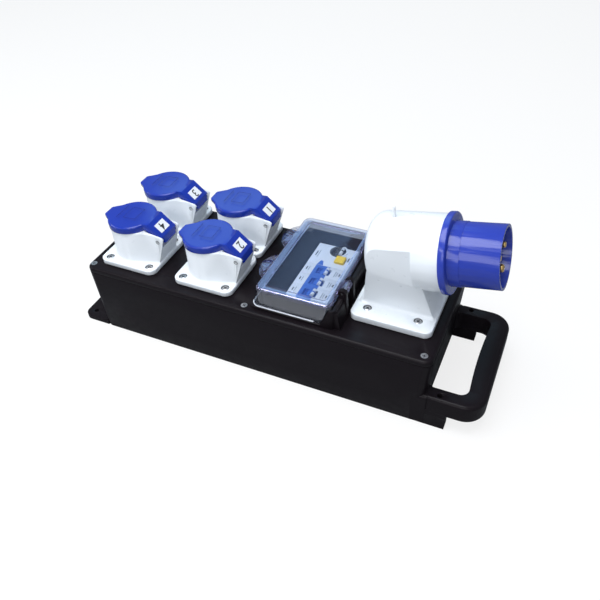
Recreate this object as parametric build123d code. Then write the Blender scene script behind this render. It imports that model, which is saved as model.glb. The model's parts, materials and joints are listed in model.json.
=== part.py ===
from build123d import *
import math
import os

# Portable power distribution box, modelled in millimetres.
# Origin: middle of the overall footprint, on the surface the box stands on.
# X runs along the box towards the handle, Y towards the back, Z up.

# Box and lid sizes
box_height = 90.2
tab_reach = 30.5
handle_reach = 55.0
lid_height = 6.0
seam_gap = 0.6
left_draft = 2.2
right_draft = 5.5
side_draft = 2.0
wall = 3.5
floor_thickness = 4.0
corner_radius = 9.0
lid_edge_radius = 3.0
lid_plate_thickness = 4.0
fit_gap = 0.3
bore_gap = 0.05

# Where the pieces sit on the lid, from its left and front edges on
flange_length = 71.0
flange_width = 68.8
first_column_inset = 47.8
column_pitch = 96.0
column_to_window = 108.2
window_to_inlet = 94.5
inlet_to_right = 53.0
front_margin = 11.9
row_gap = 0.4
back_margin = 0.1
window_front_margin = 8.0
window_back_margin = 2.4
inlet_offset = -4.1

# Derived places
lid_length = first_column_inset + column_pitch + column_to_window + window_to_inlet + inlet_to_right
lid_depth = front_margin + 2 * flange_width + row_gap + back_margin
overall_length = tab_reach + lid_length + handle_reach
lid_left = tab_reach - overall_length / 2
lid_right = lid_left + lid_length
half_depth = lid_depth / 2
lid_top = box_height
seam_top = lid_top - lid_height
seam_low = seam_top - seam_gap
foot_half = half_depth - side_draft
first_column = lid_left + first_column_inset
second_column = first_column + column_pitch
front_row = front_margin + flange_width / 2 - half_depth
back_row = half_depth - back_margin - flange_width / 2
window_x = second_column + column_to_window
window_offset = (window_front_margin - window_back_margin) / 2
frame_half_depth = half_depth - (window_front_margin + window_back_margin) / 2
inlet_x = window_x + window_to_inlet
socket_places = [
    (second_column, back_row),
    (second_column, front_row),
    (first_column, back_row),
    (first_column, front_row),
]

# Lid screws
lid_screw_left_inset = 5.2
lid_screw_right_inset = 9.6
lid_screw_edge_inset = 9.3
lid_screw_head_radius = 3.6
lid_screw_shank_radius = 2.0
lid_screw_length = 26.0
lid_screw_sink = 0.3
boss_radius = 5.2

# Mounting tab and handle
tab_thickness = 5.2
tab_corner = 10.0
tab_hole_inset = 11.0
tab_hole_edge = 12.6
tab_hole_half_pitch = half_depth - tab_hole_edge
mount_hole_radius = 2.8
handle_top = 41.4
handle_thickness = 23.0
handle_side_inset = 1.6
handle_arm_width = 15.4
handle_half = half_depth - handle_side_inset
handle_corner = 22.0
handle_opening_half = handle_half - handle_arm_width
handle_opening_corner = 9.0
grip_width = 18.5
grip_swell = 3.0
handle_edge_radius = 4.0
handle_hole_reach = 10.5
handle_hole_edge = 8.8
handle_hole_half_pitch = half_depth - handle_hole_edge
foot_reach = 20.0
foot_width = 11.0

# Socket sizes, from the middle of the flange
flange_corner = 9.0
flange_thickness = 5.5
flange_edge_radius = 1.2
gasket_thickness = 1.0
gasket_inset = 0.8
socket_screw_pitch = 52.0
screw_head_radius = 3.7
screw_head_height = 1.8
screw_shank_radius = 1.9
screw_length = 15.0
screw_recess_radius = 4.6
screw_recess_depth = 2.4
barrel_shift = -3.0
barrel_radius = 26.3
hinge_half_width = 16.4
hinge_face_low = 33.8
hinge_face_lean = 18.0
shoulder_height = 44.2
skirt_gap = 0.4
lid_tilt = 3.4
collar_height = 2.6
collar_radius = 24.4
collar_stop = 17.8
well_radius = 22.4
well_floor = 4.0
ear_x = 41.0
ear_z = 38.2
ear_radius = 4.0
wall_fall_x = 20.0
wall_fall_z = 45.2
pin_x = 37.2
pin_z = 35.6
pin_radius = 1.5
pin_half_length = 15.9
slot_half_width = 14.6
slot_low = 28.4
slot_left = 30.2
slot_bend_z = 35.3
slot_wall_x = 21.5
slot_wall_z = 42.8
barrel_stock_top = 60.0
insert_radius = 16.4
insert_height = 37.5
insert_base_height = 4.0
contact_radius = 3.4
contact_bore = 2.5
contact_circle = 9.6
contact_length = 26.0
contact_sink = 0.8
port_radius = 3.5

# Socket lid sizes
lid_outer_radius = 27.2
lid_wall = 2.0
cap_height = 7.6
cap_top_thickness = 2.2
cap_edge_radius = 2.2
latch_reach = 35.8
latch_half_width = 7.0
latch_thickness = 3.8
latch_corner = 3.0
latch_edge_radius = 1.4
crease_x = 26.0
neck_half_width = 13.9
neck_bend_x = 22.6
neck_clearance = 1.7
plate_low_x = 41.6
plate_low_z = 40.3
drop_low_x = 43.4
drop_low_z = 32.9
knuckle_half_width = 10.5
knuckle_radius = 4.2
label_length = 11.0
label_width = 15.5
label_thickness = 0.3
label_place = 0.54
seal_outer = 24.6
seal_inner = 21.6
seal_thickness = 1.4

# Inlet sizes, from the middle of the flange
inlet_flange_left = 41.1
inlet_flange_right = 43.1
inlet_flange_half_width = 41.3
inlet_flange_corner = 8.0
inlet_flange_thickness = 7.0
inlet_screw_pitch = 52.6
inlet_tilt = 10.4
drum_radius = 37.0
drum_back = -31.5
drum_front = 42.0
drum_back_radius = 15.0
axis_height = 69.4
panel_half_width = 31.0
panel_right = 17.0
panel_low = 54.5
skirt_low_half_width = 17.5
skirt_left = -33.6
skirt_right = 38.5
stem_left = -25.8
stem_right = 23.6
cable_bore = 22.0
ring_radius = 39.0
ring_thickness = 6.5
shroud_radius = 30.2
shroud_wall = 2.8
shroud_length = 46.0
shroud_root_step = 0.5
shroud_root_length = 10.5
carrier_radius = 26.8
carrier_face = 8.0
inlet_pin_circle = 12.5
inlet_pin_radius = 3.0
inlet_earth_radius = 4.0
inlet_pin_length = 36.0
inlet_pin_tail = 12.0
key_width = 8.0
key_depth = 4.6
nub_x = -13.0
nub_radius = 2.8
nub_tip_radius = 1.0
nub_sink = 6.0
nub_top = 116.0
key_length = 10.0
carrier_depth = 8.0

# Window sizes, from the middle of the window
frame_left = -47.6
frame_right = 47.2
frame_base = 2.8
frame_corner = 7.0
rail_wall = 4.0
rail_height = 23.2
hood_left = -41.6
hood_right = 41.4
hood_half_depth = frame_half_depth - 3.0
hood_left_draft = 4.4
hood_side_draft = 1.7
deck_left = -37.5
deck_right = 39.5
deck_inset = 8.3
deck_half_depth = frame_half_depth - deck_inset
deck_top = 15.6
deck_wall = 2.4
deck_corner = 5.0
column_radius = 3.9
hood_low = 3.2
hood_top = 26.6
hood_wall = 2.2
hood_corner = 8.0
hood_edge_radius = 2.4
pane_inset = 8.0
pane_sink = 1.0
cut_low_x = 30.5
cut_high_x = 40.0
tab_pitch = 55.6
tab_chord = 40.0
tab_sagitta = 10.8
finger_tab_thickness = 2.4
window_pin_x = 45.8
window_pin_z = 29.0
window_pin_radius = 1.6
window_knuckle_radius = 4.4
window_knuckle_length = 14.0
window_knuckle_place = 35.0
ear_width = 4.6
ear_radius_window = 4.6
ear_step = 0.3
cut_gap = 0.6
window_screw_inset = 4.2
window_screw_length = 20.0
hinge_foot_reach = 52.0
hinge_foot_top = 20.0
opening_left = -12.6
opening_right = 33.6

# Breakers, from the middle of the window
module_width = 18.0
module_gap = 0.2
module_count = 5
modules_start = -54.0
breaker_x = 10.5
nose_width = 45.0
nose_top = 18.5
shoulder_width = 80.0
shoulder_drop = 22.8
rail_drop = 66.0
toggle_pivot_z = 13.5
toggle_x = 0.0
toggle_hub_radius = 5.4
toggle_length = 9.2
toggle_lever = 3.4
toggle_width = 9.0
toggle_rest = 30.0
toggle_slot_gap = 0.4
toggle_slot_half = 7.6
toggle_slot_depth = 3.2
rcd_toggle_x = 2.5
rcd_toggle_y = 28.0
rcd_toggle_width = 11.0
button_size = 10.6
button_height = 3.2
button_x = 10.0
button_y = 13.4
button_travel = 1.5
button_gap = 0.3
button_well = 5.0
rail_width = 35.0
rail_depth = 7.5
rail_sheet = 1.0
rail_end_gap = 12.0
bracket_length = 14.0


def block(x_low, x_high, y_low, y_high, z_low, z_high):
    box = Box(x_high - x_low, y_high - y_low, z_high - z_low)
    return Pos((x_low + x_high) / 2, (y_low + y_high) / 2, (z_low + z_high) / 2) * box


def rod(x, y, z_low, z_high, radius):
    return Pos(x, y, (z_low + z_high) / 2) * Cylinder(radius, z_high - z_low)


def cross_rod(x, y_low, y_high, z, radius):
    turned = Rot(90, 0, 0) * Cylinder(radius, y_high - y_low)
    return Pos(x, (y_low + y_high) / 2, z) * turned


def rounded_block(x_low, x_high, y_low, y_high, z_low, z_high, radius):
    outline = RectangleRounded(x_high - x_low, y_high - y_low, radius)
    solid = extrude(outline, z_high - z_low)
    return Pos((x_low + x_high) / 2, (y_low + y_high) / 2, z_low) * solid


def side_profile(points, y_low, y_high):
    # A closed outline in X and Z, given thickness along Y.
    outline = Plane.XZ * make_face(Polyline(points, close=True))
    return Pos(0, y_high, 0) * extrude(outline, y_high - y_low)


def top_edges(solid):
    return solid.edges().group_by(Axis.Z)[-1]


def save(shape, name):
    export_step(shape, f"parts/{name}.step")


def group(solids):
    return Compound(children=list(solids))


# Housing
def drafted_block(z_low, z_high, inset):
    def section(z):
        fall = (seam_low - z) / seam_low
        left = lid_left + left_draft * fall + inset
        right = lid_right - right_draft * fall - inset
        half = half_depth - side_draft * fall - inset
        outline = RectangleRounded(right - left, 2 * half, corner_radius - inset)
        return Pos((left + right) / 2, 0, z) * outline

    return loft([section(z_low), section(z_high)])


def lid_screw_places():
    left = lid_left + lid_screw_left_inset
    right = lid_right - lid_screw_right_inset
    side = half_depth - lid_screw_edge_inset
    return [(x, y) for x in (left, (left + right) / 2, right) for y in (-side, side)]


def handle_loop():
    left = lid_right - corner_radius * 2
    right = lid_right + handle_reach
    low = handle_top - handle_thickness
    loop = rounded_block(left, right, -handle_half, handle_half, low, handle_top, handle_corner)
    outer = loop.edges().filter_by(Axis.Z, reverse=True)
    loop = fillet(outer, handle_edge_radius)
    grip_x = right - grip_width
    swell = ThreePointArc(
        (grip_x, -handle_opening_half),
        (grip_x - grip_swell, 0),
        (grip_x, handle_opening_half),
    )
    start = lid_right - right_draft
    rest = Polyline(
        (grip_x, handle_opening_half),
        (start, handle_opening_half),
        (start, -handle_opening_half),
        (grip_x, -handle_opening_half),
    )
    outline = make_face(swell + rest)
    outline = fillet(outline.vertices(), handle_opening_corner)
    return loop - Pos(0, 0, low) * extrude(outline, handle_thickness)


def base_housing():
    outer = drafted_block(0, seam_low, 0)
    bosses = [rod(x, y, floor_thickness, seam_low, boss_radius) for x, y in lid_screw_places()]
    shell = outer - drafted_block(floor_thickness, seam_low, wall)
    shell += outer & (Part() + bosses)
    outer_x = lid_right + foot_reach
    low = handle_top - handle_thickness + handle_edge_radius
    wall_x = lid_right - right_draft - wall / 2
    loop = handle_loop() - drafted_block(0, seam_low, wall / 2)
    shell += loop
    for side in (-1, 1):
        y_low, y_high = sorted((side * (foot_half - foot_width), side * (foot_half - bore_gap)))
        shell += block(wall_x, outer_x, y_low, y_high, 0, low)
    tab_x = lid_left - tab_reach
    tab_right = lid_left + left_draft + wall
    tab = rounded_block(tab_x, tab_right, -foot_half, foot_half, 0, tab_thickness, tab_corner)
    tab += block(tab_right - tab_corner, tab_right, -foot_half, foot_half, 0, floor_thickness)
    shell += tab - block(lid_left + left_draft + wall, 0, -half_depth, half_depth, 0, lid_top)
    for side in (-1, 1):
        hole_x = tab_x + tab_hole_inset
        shell -= rod(hole_x, side * tab_hole_half_pitch, 0, tab_thickness, mount_hole_radius)
        hole_x = lid_right + handle_hole_reach
        shell -= rod(hole_x, side * handle_hole_half_pitch, 0, handle_top, mount_hole_radius)
    for x, y in lid_screw_places():
        low = lid_top - lid_screw_length - lid_screw_sink
        shell -= rod(x, y, low, seam_low, lid_screw_shank_radius + bore_gap)
    return shell


def countersunk(x, y, gap):
    head_height = lid_screw_head_radius + gap - lid_screw_shank_radius
    top = lid_top - lid_screw_sink
    head = Cone(lid_screw_shank_radius, lid_screw_head_radius + gap, head_height)
    head = Pos(x, y, top - head_height / 2) * head
    low = lid_top - lid_screw_length - lid_screw_sink
    return head + rod(x, y, low, top - head_height / 2, lid_screw_shank_radius + gap)


def lid_plate():
    lid = rounded_block(
        lid_left, lid_right, -half_depth, half_depth, seam_top, lid_top, corner_radius
    )
    lid = fillet(top_edges(lid), lid_edge_radius)
    pocket = rounded_block(
        lid_left + wall, lid_right - wall, -half_depth + wall, half_depth - wall,
        seam_top, lid_top - lid_plate_thickness, corner_radius - wall,
    )
    bosses = [rod(x, y, seam_top, lid_top - 1, boss_radius) for x, y in lid_screw_places()]
    lid -= pocket - bosses
    for x, y in lid_screw_places():
        lid -= countersunk(x, y, bore_gap)
        lid -= rod(x, y, lid_top - lid_screw_sink, lid_top, lid_screw_head_radius + bore_gap)
    for x, y in socket_places:
        lid -= rod(x + barrel_shift, y, seam_top, lid_top, well_radius)
        for hole_x, hole_y in square_pattern(x, y, socket_screw_pitch):
            lid -= rod(hole_x, hole_y, seam_top, lid_top, screw_shank_radius + bore_gap)
    for hole_x, hole_y in window_screw_places():
        hole_x += window_x
        hole_y += window_offset
        lid -= rod(hole_x, hole_y, seam_top, lid_top, screw_shank_radius + bore_gap)
    lid -= rod(inlet_x, inlet_offset, seam_top, lid_top, cable_bore / 2)
    for hole_x, hole_y in square_pattern(inlet_x, inlet_offset, inlet_screw_pitch):
        lid -= rod(hole_x, hole_y, seam_top, lid_top, screw_shank_radius + bore_gap)
    x_low = window_x + opening_left
    x_high = window_x + opening_right
    y_low = window_offset + modules_start - fit_gap
    y_high = window_offset + modules_start + module_count * module_width + fit_gap
    return lid - block(x_low, x_high, y_low, y_high, seam_top, lid_top)


def lid_gasket():
    inset = wall / 4
    outer = rounded_block(
        lid_left + inset, lid_right - inset, -half_depth + inset, half_depth - inset,
        seam_low, seam_top, corner_radius - inset,
    )
    inset = wall - wall / 4
    return outer - rounded_block(
        lid_left + inset, lid_right - inset, -half_depth + inset, half_depth - inset,
        seam_low, seam_top, corner_radius - inset,
    ) - [rod(x, y, seam_low, seam_top, lid_screw_shank_radius * 2) for x, y in lid_screw_places()]


def square_pattern(x, y, pitch):
    half = pitch / 2
    return [(x + side * half, y + end * half) for side in (-1, 1) for end in (-1, 1)]


def flange_gasket(left, right, half_width, corner, bore_x, bore_radius, pitch):
    side = half_width - gasket_inset
    ring = rounded_block(
        gasket_inset - left, right - gasket_inset, -side, side,
        0, gasket_thickness, corner - gasket_inset,
    )
    ring -= rod(bore_x, 0, 0, gasket_thickness, bore_radius)
    for x, y in square_pattern(0, 0, pitch):
        ring -= rod(x, y, 0, gasket_thickness, screw_shank_radius + bore_gap)
    return ring


def flange_screws(pitch, seat):
    screws = []
    for x, y in square_pattern(0, 0, pitch):
        head = rod(x, y, seat, seat + screw_head_height, screw_head_radius)
        screws.append(head + rod(x, y, seat - screw_length, seat, screw_shank_radius))
    return screws


# Socket body
def barrel_outline(radius, hinge_half, reach):
    # Round at the latch side, closing in to two parallel sides at the hinge.
    distance = hinge_face_low - barrel_shift
    span = math.hypot(distance, hinge_half)
    lean = math.atan2(hinge_half, distance) + math.acos(radius / span)
    touch_x = barrel_shift + radius * math.cos(lean)
    touch_y = radius * math.sin(lean)
    arc = ThreePointArc(
        (touch_x, touch_y), (barrel_shift - radius, 0), (touch_x, -touch_y)
    )
    sides = Polyline(
        (touch_x, -touch_y), (hinge_face_low, -hinge_half), (reach, -hinge_half),
        (reach, hinge_half), (hinge_face_low, hinge_half), (touch_x, touch_y),
    )
    return make_face(arc + sides)


def tilted(height):
    # Plane of the socket mouth, a little higher at the hinge side.
    turn = math.radians(lid_tilt)
    return Plane(
        origin=(0, 0, height),
        x_dir=(math.cos(turn), 0, math.sin(turn)),
        z_dir=(-math.sin(turn), 0, math.cos(turn)),
    )


def above(height):
    return tilted(height) * extrude(Rectangle(200, 200), 60)


def hinge_face_x(z):
    base = gasket_thickness + flange_thickness
    return hinge_face_low + (z - base) * math.tan(math.radians(hinge_face_lean))


def socket_body():
    base = gasket_thickness + flange_thickness
    half = flange_length / 2
    side = flange_width / 2
    flange = rounded_block(-half, half, -side, side, gasket_thickness, base, flange_corner)
    flange = fillet(top_edges(flange), flange_edge_radius)
    stock_top = barrel_stock_top
    reach = hinge_face_x(stock_top)
    stock = extrude(barrel_outline(barrel_radius, hinge_half_width, reach), stock_top)
    stock -= side_profile(
        [(hinge_face_x(0), 0), (hinge_face_x(stock_top), stock_top), (90, stock_top), (90, 0)],
        -half, half,
    )
    stock -= block(-half, 90, -half, half, 0, gasket_thickness)
    ears = stock & cross_rod(ear_x, -half, half, ear_z, ear_radius)
    barrel = stock - above(shoulder_height) - side_profile(
        [(wall_fall_x, wall_fall_z), (ear_x, ear_z + ear_radius), (ear_x, ear_z), (90, ear_z),
         (90, 90), (wall_fall_x, 90)],
        -half, half,
    )
    body = flange + barrel + ears
    body -= side_profile(
        [(slot_left, slot_low), (slot_left, slot_bend_z), (slot_wall_x, slot_wall_z),
         (slot_wall_x, 90), (90, 90), (90, slot_low)],
        -slot_half_width, slot_half_width,
    )
    collar = rod(barrel_shift, 0, base, stock_top, collar_radius) - above(shoulder_height + collar_height)
    body += collar & block(-half, collar_stop, -half, half, 0, stock_top)
    body -= rod(barrel_shift, 0, 0, stock_top, well_radius)
    for x, y in square_pattern(0, 0, socket_screw_pitch):
        body -= rod(x, y, base - screw_recess_depth, base + 12, screw_recess_radius)
        body -= rod(x, y, 0, base, screw_shank_radius + bore_gap)
    body -= cross_rod(pin_x, -pin_half_length, pin_half_length, pin_z, pin_radius + bore_gap)
    for end in (-1, 1):
        y_low, y_high = sorted((end * pin_half_length, end * half))
        body -= cross_rod(pin_x, y_low, y_high, pin_z, pin_radius - fit_gap)
    return body


def contact_places():
    # Three contacts, the larger earth one at the key.
    angles = (180, 60, -60)
    places = []
    for angle in angles:
        turn = math.radians(angle)
        x = barrel_shift + contact_circle * math.cos(turn)
        places.append((x, contact_circle * math.sin(turn)))
    return places


def socket_insert():
    disc = rod(barrel_shift, 0, -well_floor, gasket_thickness + insert_base_height, well_radius - bore_gap)
    core = rod(barrel_shift, 0, 0, insert_height, insert_radius)
    core = fillet(top_edges(core), 0.8)
    insert = disc + core
    for x, y in contact_places():
        insert -= rod(x, y, insert_height - contact_length - contact_sink, insert_height, port_radius)
    return insert


def socket_contacts():
    sleeves = []
    for x, y in contact_places():
        top = insert_height - contact_sink
        low = top - contact_length
        sleeve = rod(x, y, low, top, contact_radius)
        sleeves.append(sleeve - rod(x, y, low + 2, top, contact_bore))
    return sleeves


def lid_hinge_pin():
    half = pin_half_length - fit_gap
    return cross_rod(pin_x, -half, half, pin_z, pin_radius)


# Socket lid
def cap_outline(radius, latch_x, latch_half):
    # A disc drawn out into a latch tab.
    distance = latch_x + barrel_shift
    span = math.hypot(distance, latch_half)
    lean = math.pi - math.atan2(latch_half, distance) - math.acos(radius / span)
    touch_x = barrel_shift + radius * math.cos(lean)
    touch_y = radius * math.sin(lean)
    arc = ThreePointArc(
        (touch_x, touch_y), (barrel_shift + radius, 0), (touch_x, -touch_y)
    )
    tip = Polyline(
        (touch_x, -touch_y), (-latch_x, -latch_half), (-latch_x, latch_half), (touch_x, touch_y)
    )
    outline = make_face(arc + tip)
    return fillet(outline.vertices().group_by(Axis.X)[0], latch_corner)


def neck_profile():
    # Side outline of the sloping hinge plate and its drop, in X and Z.
    turn = math.tan(math.radians(lid_tilt))
    top = shoulder_height + skirt_gap + cap_height
    return [
        (0, top),
        (crease_x, top + crease_x * turn),
        (plate_low_x, plate_low_z),
        (drop_low_x, drop_low_z),
        (pin_x, drop_low_z),
        (pin_x - 5.5, pin_z),
        (neck_bend_x, shoulder_height + neck_clearance),
        (0, shoulder_height + neck_clearance),
    ]


def socket_lid():
    skirt_low = shoulder_height + skirt_gap
    cap = tilted(skirt_low) * extrude(Pos(barrel_shift, 0) * Circle(lid_outer_radius), cap_height)
    cap = fillet(cap.faces().sort_by(Axis.Z)[-1].edges(), cap_edge_radius)
    latch = tilted(skirt_low + cap_height - latch_thickness) * extrude(
        cap_outline(lid_outer_radius - cap_edge_radius, latch_reach, latch_half_width), latch_thickness
    )
    cap += fillet(latch.faces().sort_by(Axis.Z)[-1].edges(), latch_edge_radius)
    neck = side_profile(neck_profile(), -neck_half_width, neck_half_width)
    neck -= block(plate_low_x - 4, 90, knuckle_half_width, 90, 0, plate_low_z - 1.5)
    neck -= block(plate_low_x - 4, 90, -90, -knuckle_half_width, 0, plate_low_z - 1.5)
    shell = cap + neck
    inner = tilted(skirt_low - 5) * extrude(
        Pos(barrel_shift, 0) * Circle(lid_outer_radius - lid_wall), cap_height - cap_top_thickness + 5
    )
    inner -= side_profile(
        [(crease_x - 3, 0), (crease_x - 3, 90), (90, 90), (90, 0)], -40, 40
    )
    shell -= inner
    shell += cross_rod(pin_x, -neck_half_width, neck_half_width, pin_z, knuckle_radius)
    shell -= cross_rod(pin_x, -40, 40, pin_z, pin_radius + bore_gap)
    return shell


def plate_plane():
    # Plane lying on the sloping plate, X pointing down the slope.
    turn = math.tan(math.radians(lid_tilt))
    top = shoulder_height + skirt_gap + cap_height + crease_x * turn
    run = plate_low_x - crease_x
    drop = top - plate_low_z
    length = math.hypot(run, drop)
    middle = label_place
    origin = (crease_x + run * middle, 0, top - drop * middle)
    return Plane(origin=origin, x_dir=(run, 0, -drop), z_dir=(drop / length, 0, run / length))


def number_plate():
    return plate_plane() * extrude(Rectangle(label_length, label_width), label_thickness)


def lid_seal():
    height = shoulder_height + skirt_gap + cap_height - cap_top_thickness - seal_thickness
    ring = Circle(seal_outer) - Circle(seal_inner)
    ring = tilted(height) * extrude(Pos(barrel_shift, 0) * ring, seal_thickness)
    return ring - block(crease_x - 3.2, 90, -40, 40, 0, 90)


# Inlet
def axis_plane(distance):
    # Plane square to the plug axis, its Y pointing up.
    turn = math.radians(inlet_tilt)
    return Plane(
        origin=(distance * math.cos(turn), 0, axis_height + distance * math.sin(turn)),
        x_dir=(0, 1, 0),
        z_dir=(math.cos(turn), 0, math.sin(turn)),
    )


def axis_rod(start, end, radius, side=0.0, rise=0.0):
    return axis_plane(start) * extrude(Pos(side, rise) * Circle(radius), end - start)


def inlet_housing():
    base = gasket_thickness + inlet_flange_thickness
    flange = rounded_block(
        -inlet_flange_left, inlet_flange_right, -inlet_flange_half_width, inlet_flange_half_width,
        gasket_thickness, base, inlet_flange_corner,
    )
    flange = fillet(top_edges(flange), flange_edge_radius)
    drum = axis_rod(drum_back, drum_front, drum_radius)
    back = drum.faces().sort_by(Axis.X)[0]
    drum = fillet(back.edges(), drum_back_radius)
    stem = side_profile(
        [(skirt_left, base), (stem_left, axis_height), (stem_right, axis_height), (skirt_right, base)],
        -panel_half_width, panel_half_width,
    )
    slope = (panel_half_width - skirt_low_half_width) / (panel_low - base)
    low_half = skirt_low_half_width - slope * base
    clip = Plane.YZ * make_face(
        Polyline(
            (-low_half, 0), (-panel_half_width, panel_low), (-panel_half_width, 150),
            (panel_half_width, 150), (panel_half_width, panel_low), (low_half, 0), close=True,
        )
    )
    clip = Pos(-90, 0, 0) * extrude(clip, 180)
    rear = drum - axis_plane(panel_right) * extrude(Rectangle(200, 200), 80)
    front = drum & axis_plane(panel_right) * extrude(Rectangle(200, 200), 80)
    body = ((rear + stem) & clip) + front + flange
    nub_low = axis_height + drum_radius - nub_sink
    nub = Cone(nub_radius, nub_tip_radius, nub_top - nub_low)
    body += Pos(nub_x, 0, (nub_low + nub_top) / 2) * nub
    body -= axis_rod(drum_back + drum_back_radius, drum_front, carrier_radius + bore_gap)
    body -= rod(0, 0, 0, axis_height, skirt_low_half_width - wall)
    for x, y in square_pattern(0, 0, inlet_screw_pitch):
        body -= rod(x, y, base - screw_recess_depth, base + 8, screw_recess_radius)
        body -= rod(x, y, 0, base, screw_shank_radius + bore_gap)
    return body


def inlet_shroud():
    ring_end = drum_front + ring_thickness
    tip = ring_end + shroud_length
    ring = axis_rod(drum_front, ring_end, ring_radius)
    ring = fillet(ring.edges().filter_by(GeomType.CIRCLE), 1.2)
    shroud = ring + axis_rod(ring_end - 1, tip, shroud_radius)
    shroud += axis_rod(ring_end - 1, ring_end + shroud_root_length, shroud_radius + shroud_root_step)
    shroud -= axis_rod(drum_front, tip, shroud_radius - shroud_wall)
    key = axis_plane(ring_end) * extrude(
        Pos(0, -shroud_radius) * Rectangle(key_width, 2 * key_depth), key_length
    )
    return shroud + (key - axis_rod(ring_end, tip, shroud_radius - shroud_wall))


def inlet_pin_places():
    return [
        (0.0, -inlet_pin_circle, inlet_earth_radius),
        (inlet_pin_circle * math.cos(math.radians(30)), inlet_pin_circle / 2, inlet_pin_radius),
        (-inlet_pin_circle * math.cos(math.radians(30)), inlet_pin_circle / 2, inlet_pin_radius),
    ]


def inlet_pin_carrier():
    ring_end = drum_front + ring_thickness
    start = drum_front - carrier_depth
    carrier = axis_rod(start, ring_end + carrier_face, carrier_radius)
    for side, rise, radius in inlet_pin_places():
        carrier -= axis_rod(start, ring_end + carrier_face, radius + bore_gap, side, rise)
    return carrier


def inlet_pins():
    pins = []
    start = drum_front - carrier_depth - inlet_pin_tail
    for side, rise, radius in inlet_pin_places():
        end = drum_front + ring_thickness + carrier_face + inlet_pin_length
        pin = axis_rod(start, end, radius, side, rise)
        tip = pin.faces().sort_by(Axis.X)[-1]
        pins.append(fillet(tip.edges(), radius / 2))
    return pins


# Window over the breakers
def window_frame():
    plate = rounded_block(
        frame_left, frame_right, -frame_half_depth, frame_half_depth, 0, frame_base, frame_corner
    )
    rail_low = frame_right - rail_wall
    shape = rounded_block(
        frame_left, frame_right, -frame_half_depth, frame_half_depth, 0, rail_height, frame_corner
    )
    rail = shape & block(rail_low, frame_right, -90, 90, 0, rail_height)
    corner = side_profile(
        [(cut_low_x + cut_gap, frame_base), (cut_high_x + cut_gap, rail_height),
         (rail_low, rail_height), (rail_low, frame_base)],
        -90, 90,
    )
    for side in (-1, 1):
        y_low, y_high = sorted((side * frame_half_depth, side * (frame_half_depth - rail_wall)))
        rail += shape & corner & block(cut_low_x, frame_right, y_low, y_high, 0, rail_height)
    frame = plate + rail + window_deck()
    for side in (-1, 1):
        for place in hinge_ear_places():
            y_low, y_high = sorted((side * place, side * (place + ear_width)))
            post = side_profile(
                [(rail_low, 0), (hinge_foot_reach, 0), (window_pin_x + ear_radius_window, window_pin_z),
                 (rail_low - ear_step, window_pin_z), (rail_low - ear_step, rail_height - 1),
                 (rail_low, rail_height - 1)],
                y_low, y_high,
            )
            frame += post + cross_rod(window_pin_x, y_low, y_high, window_pin_z, ear_radius_window)
        frame += side_profile(
            [(rail_low, 0), (hinge_foot_reach, 0), (frame_right + 1.5, hinge_foot_top), (rail_low, hinge_foot_top)],
            *sorted((side * (hinge_ear_places()[1]), side * (frame_half_depth - 3))),
        )
    y_high = modules_start + module_count * module_width + fit_gap
    frame -= block(opening_left, opening_right, modules_start - fit_gap, y_high, 0, deck_top)
    pin_low, pin_high = window_pin_span()
    for side in (-1, 1):
        y_low, y_high = sorted((side * pin_low, side * pin_high))
        frame -= cross_rod(window_pin_x, y_low, y_high, window_pin_z, window_pin_radius + bore_gap)
    for x, y in window_screw_places():
        frame -= rod(x, y, 0, deck_top, screw_shank_radius + bore_gap)
    return frame


def window_deck():
    # Raised dark deck round the breaker noses, hollow below, with a column under each screw.
    deck = rounded_block(
        deck_left, deck_right, -deck_half_depth, deck_half_depth, 0, deck_top, deck_corner
    )
    deck -= rounded_block(
        deck_left + deck_wall, deck_right - deck_wall, deck_wall - deck_half_depth,
        deck_half_depth - deck_wall, 0, deck_top - deck_wall, deck_corner - deck_wall,
    )
    columns = [rod(x, y, 0, deck_top, column_radius) for x, y in window_screw_places()]
    return deck + columns


def hinge_ear_places():
    inner = window_knuckle_place - window_knuckle_length / 2 - fit_gap - ear_width
    outer = window_knuckle_place + window_knuckle_length / 2 + fit_gap
    return [inner, outer]


def window_pin_span():
    inner, outer = hinge_ear_places()
    return inner + 1, outer + ear_width


def window_screw_places():
    x_low = deck_left + window_screw_inset
    x_high = deck_right - window_screw_inset
    side = deck_half_depth - window_screw_inset
    return [(x_low, -side), (x_low, side), (x_high, -side), (x_high, side)]


def window_screws():
    screws = []
    for x, y in window_screw_places():
        head = rod(x, y, deck_top, deck_top + screw_head_height, screw_head_radius)
        screws.append(head + rod(x, y, deck_top - window_screw_length, deck_top, screw_shank_radius))
    return screws


def window_hinge_pins():
    pin_low, pin_high = window_pin_span()
    pins = []
    for side in (-1, 1):
        y_low, y_high = sorted((side * (pin_low + bore_gap), side * (pin_high - 1)))
        pins.append(cross_rod(window_pin_x, y_low, y_high, window_pin_z, window_pin_radius))
    return pins


def finger_tab(y):
    radius = (tab_chord ** 2 / 4 + tab_sagitta ** 2) / (2 * tab_sagitta)
    top = hood_top - 1
    disc = rod(hood_left - tab_sagitta + radius, y, top - finger_tab_thickness, top, radius)
    return disc & block(hood_left - tab_sagitta, hood_left + hood_wall, y - 40, y + 40, 0, top)


def hood_section(height, inset, right):
    # Outline of the clear hood, wider towards the lid.
    share = (hood_top - height) / (hood_top - hood_low)
    left = hood_left - hood_left_draft * share + inset
    half = hood_half_depth + hood_side_draft * share - inset
    outline = RectangleRounded(right - left, 2 * half, hood_corner - inset)
    return Pos((left + right) / 2, 0, height) * outline


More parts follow.
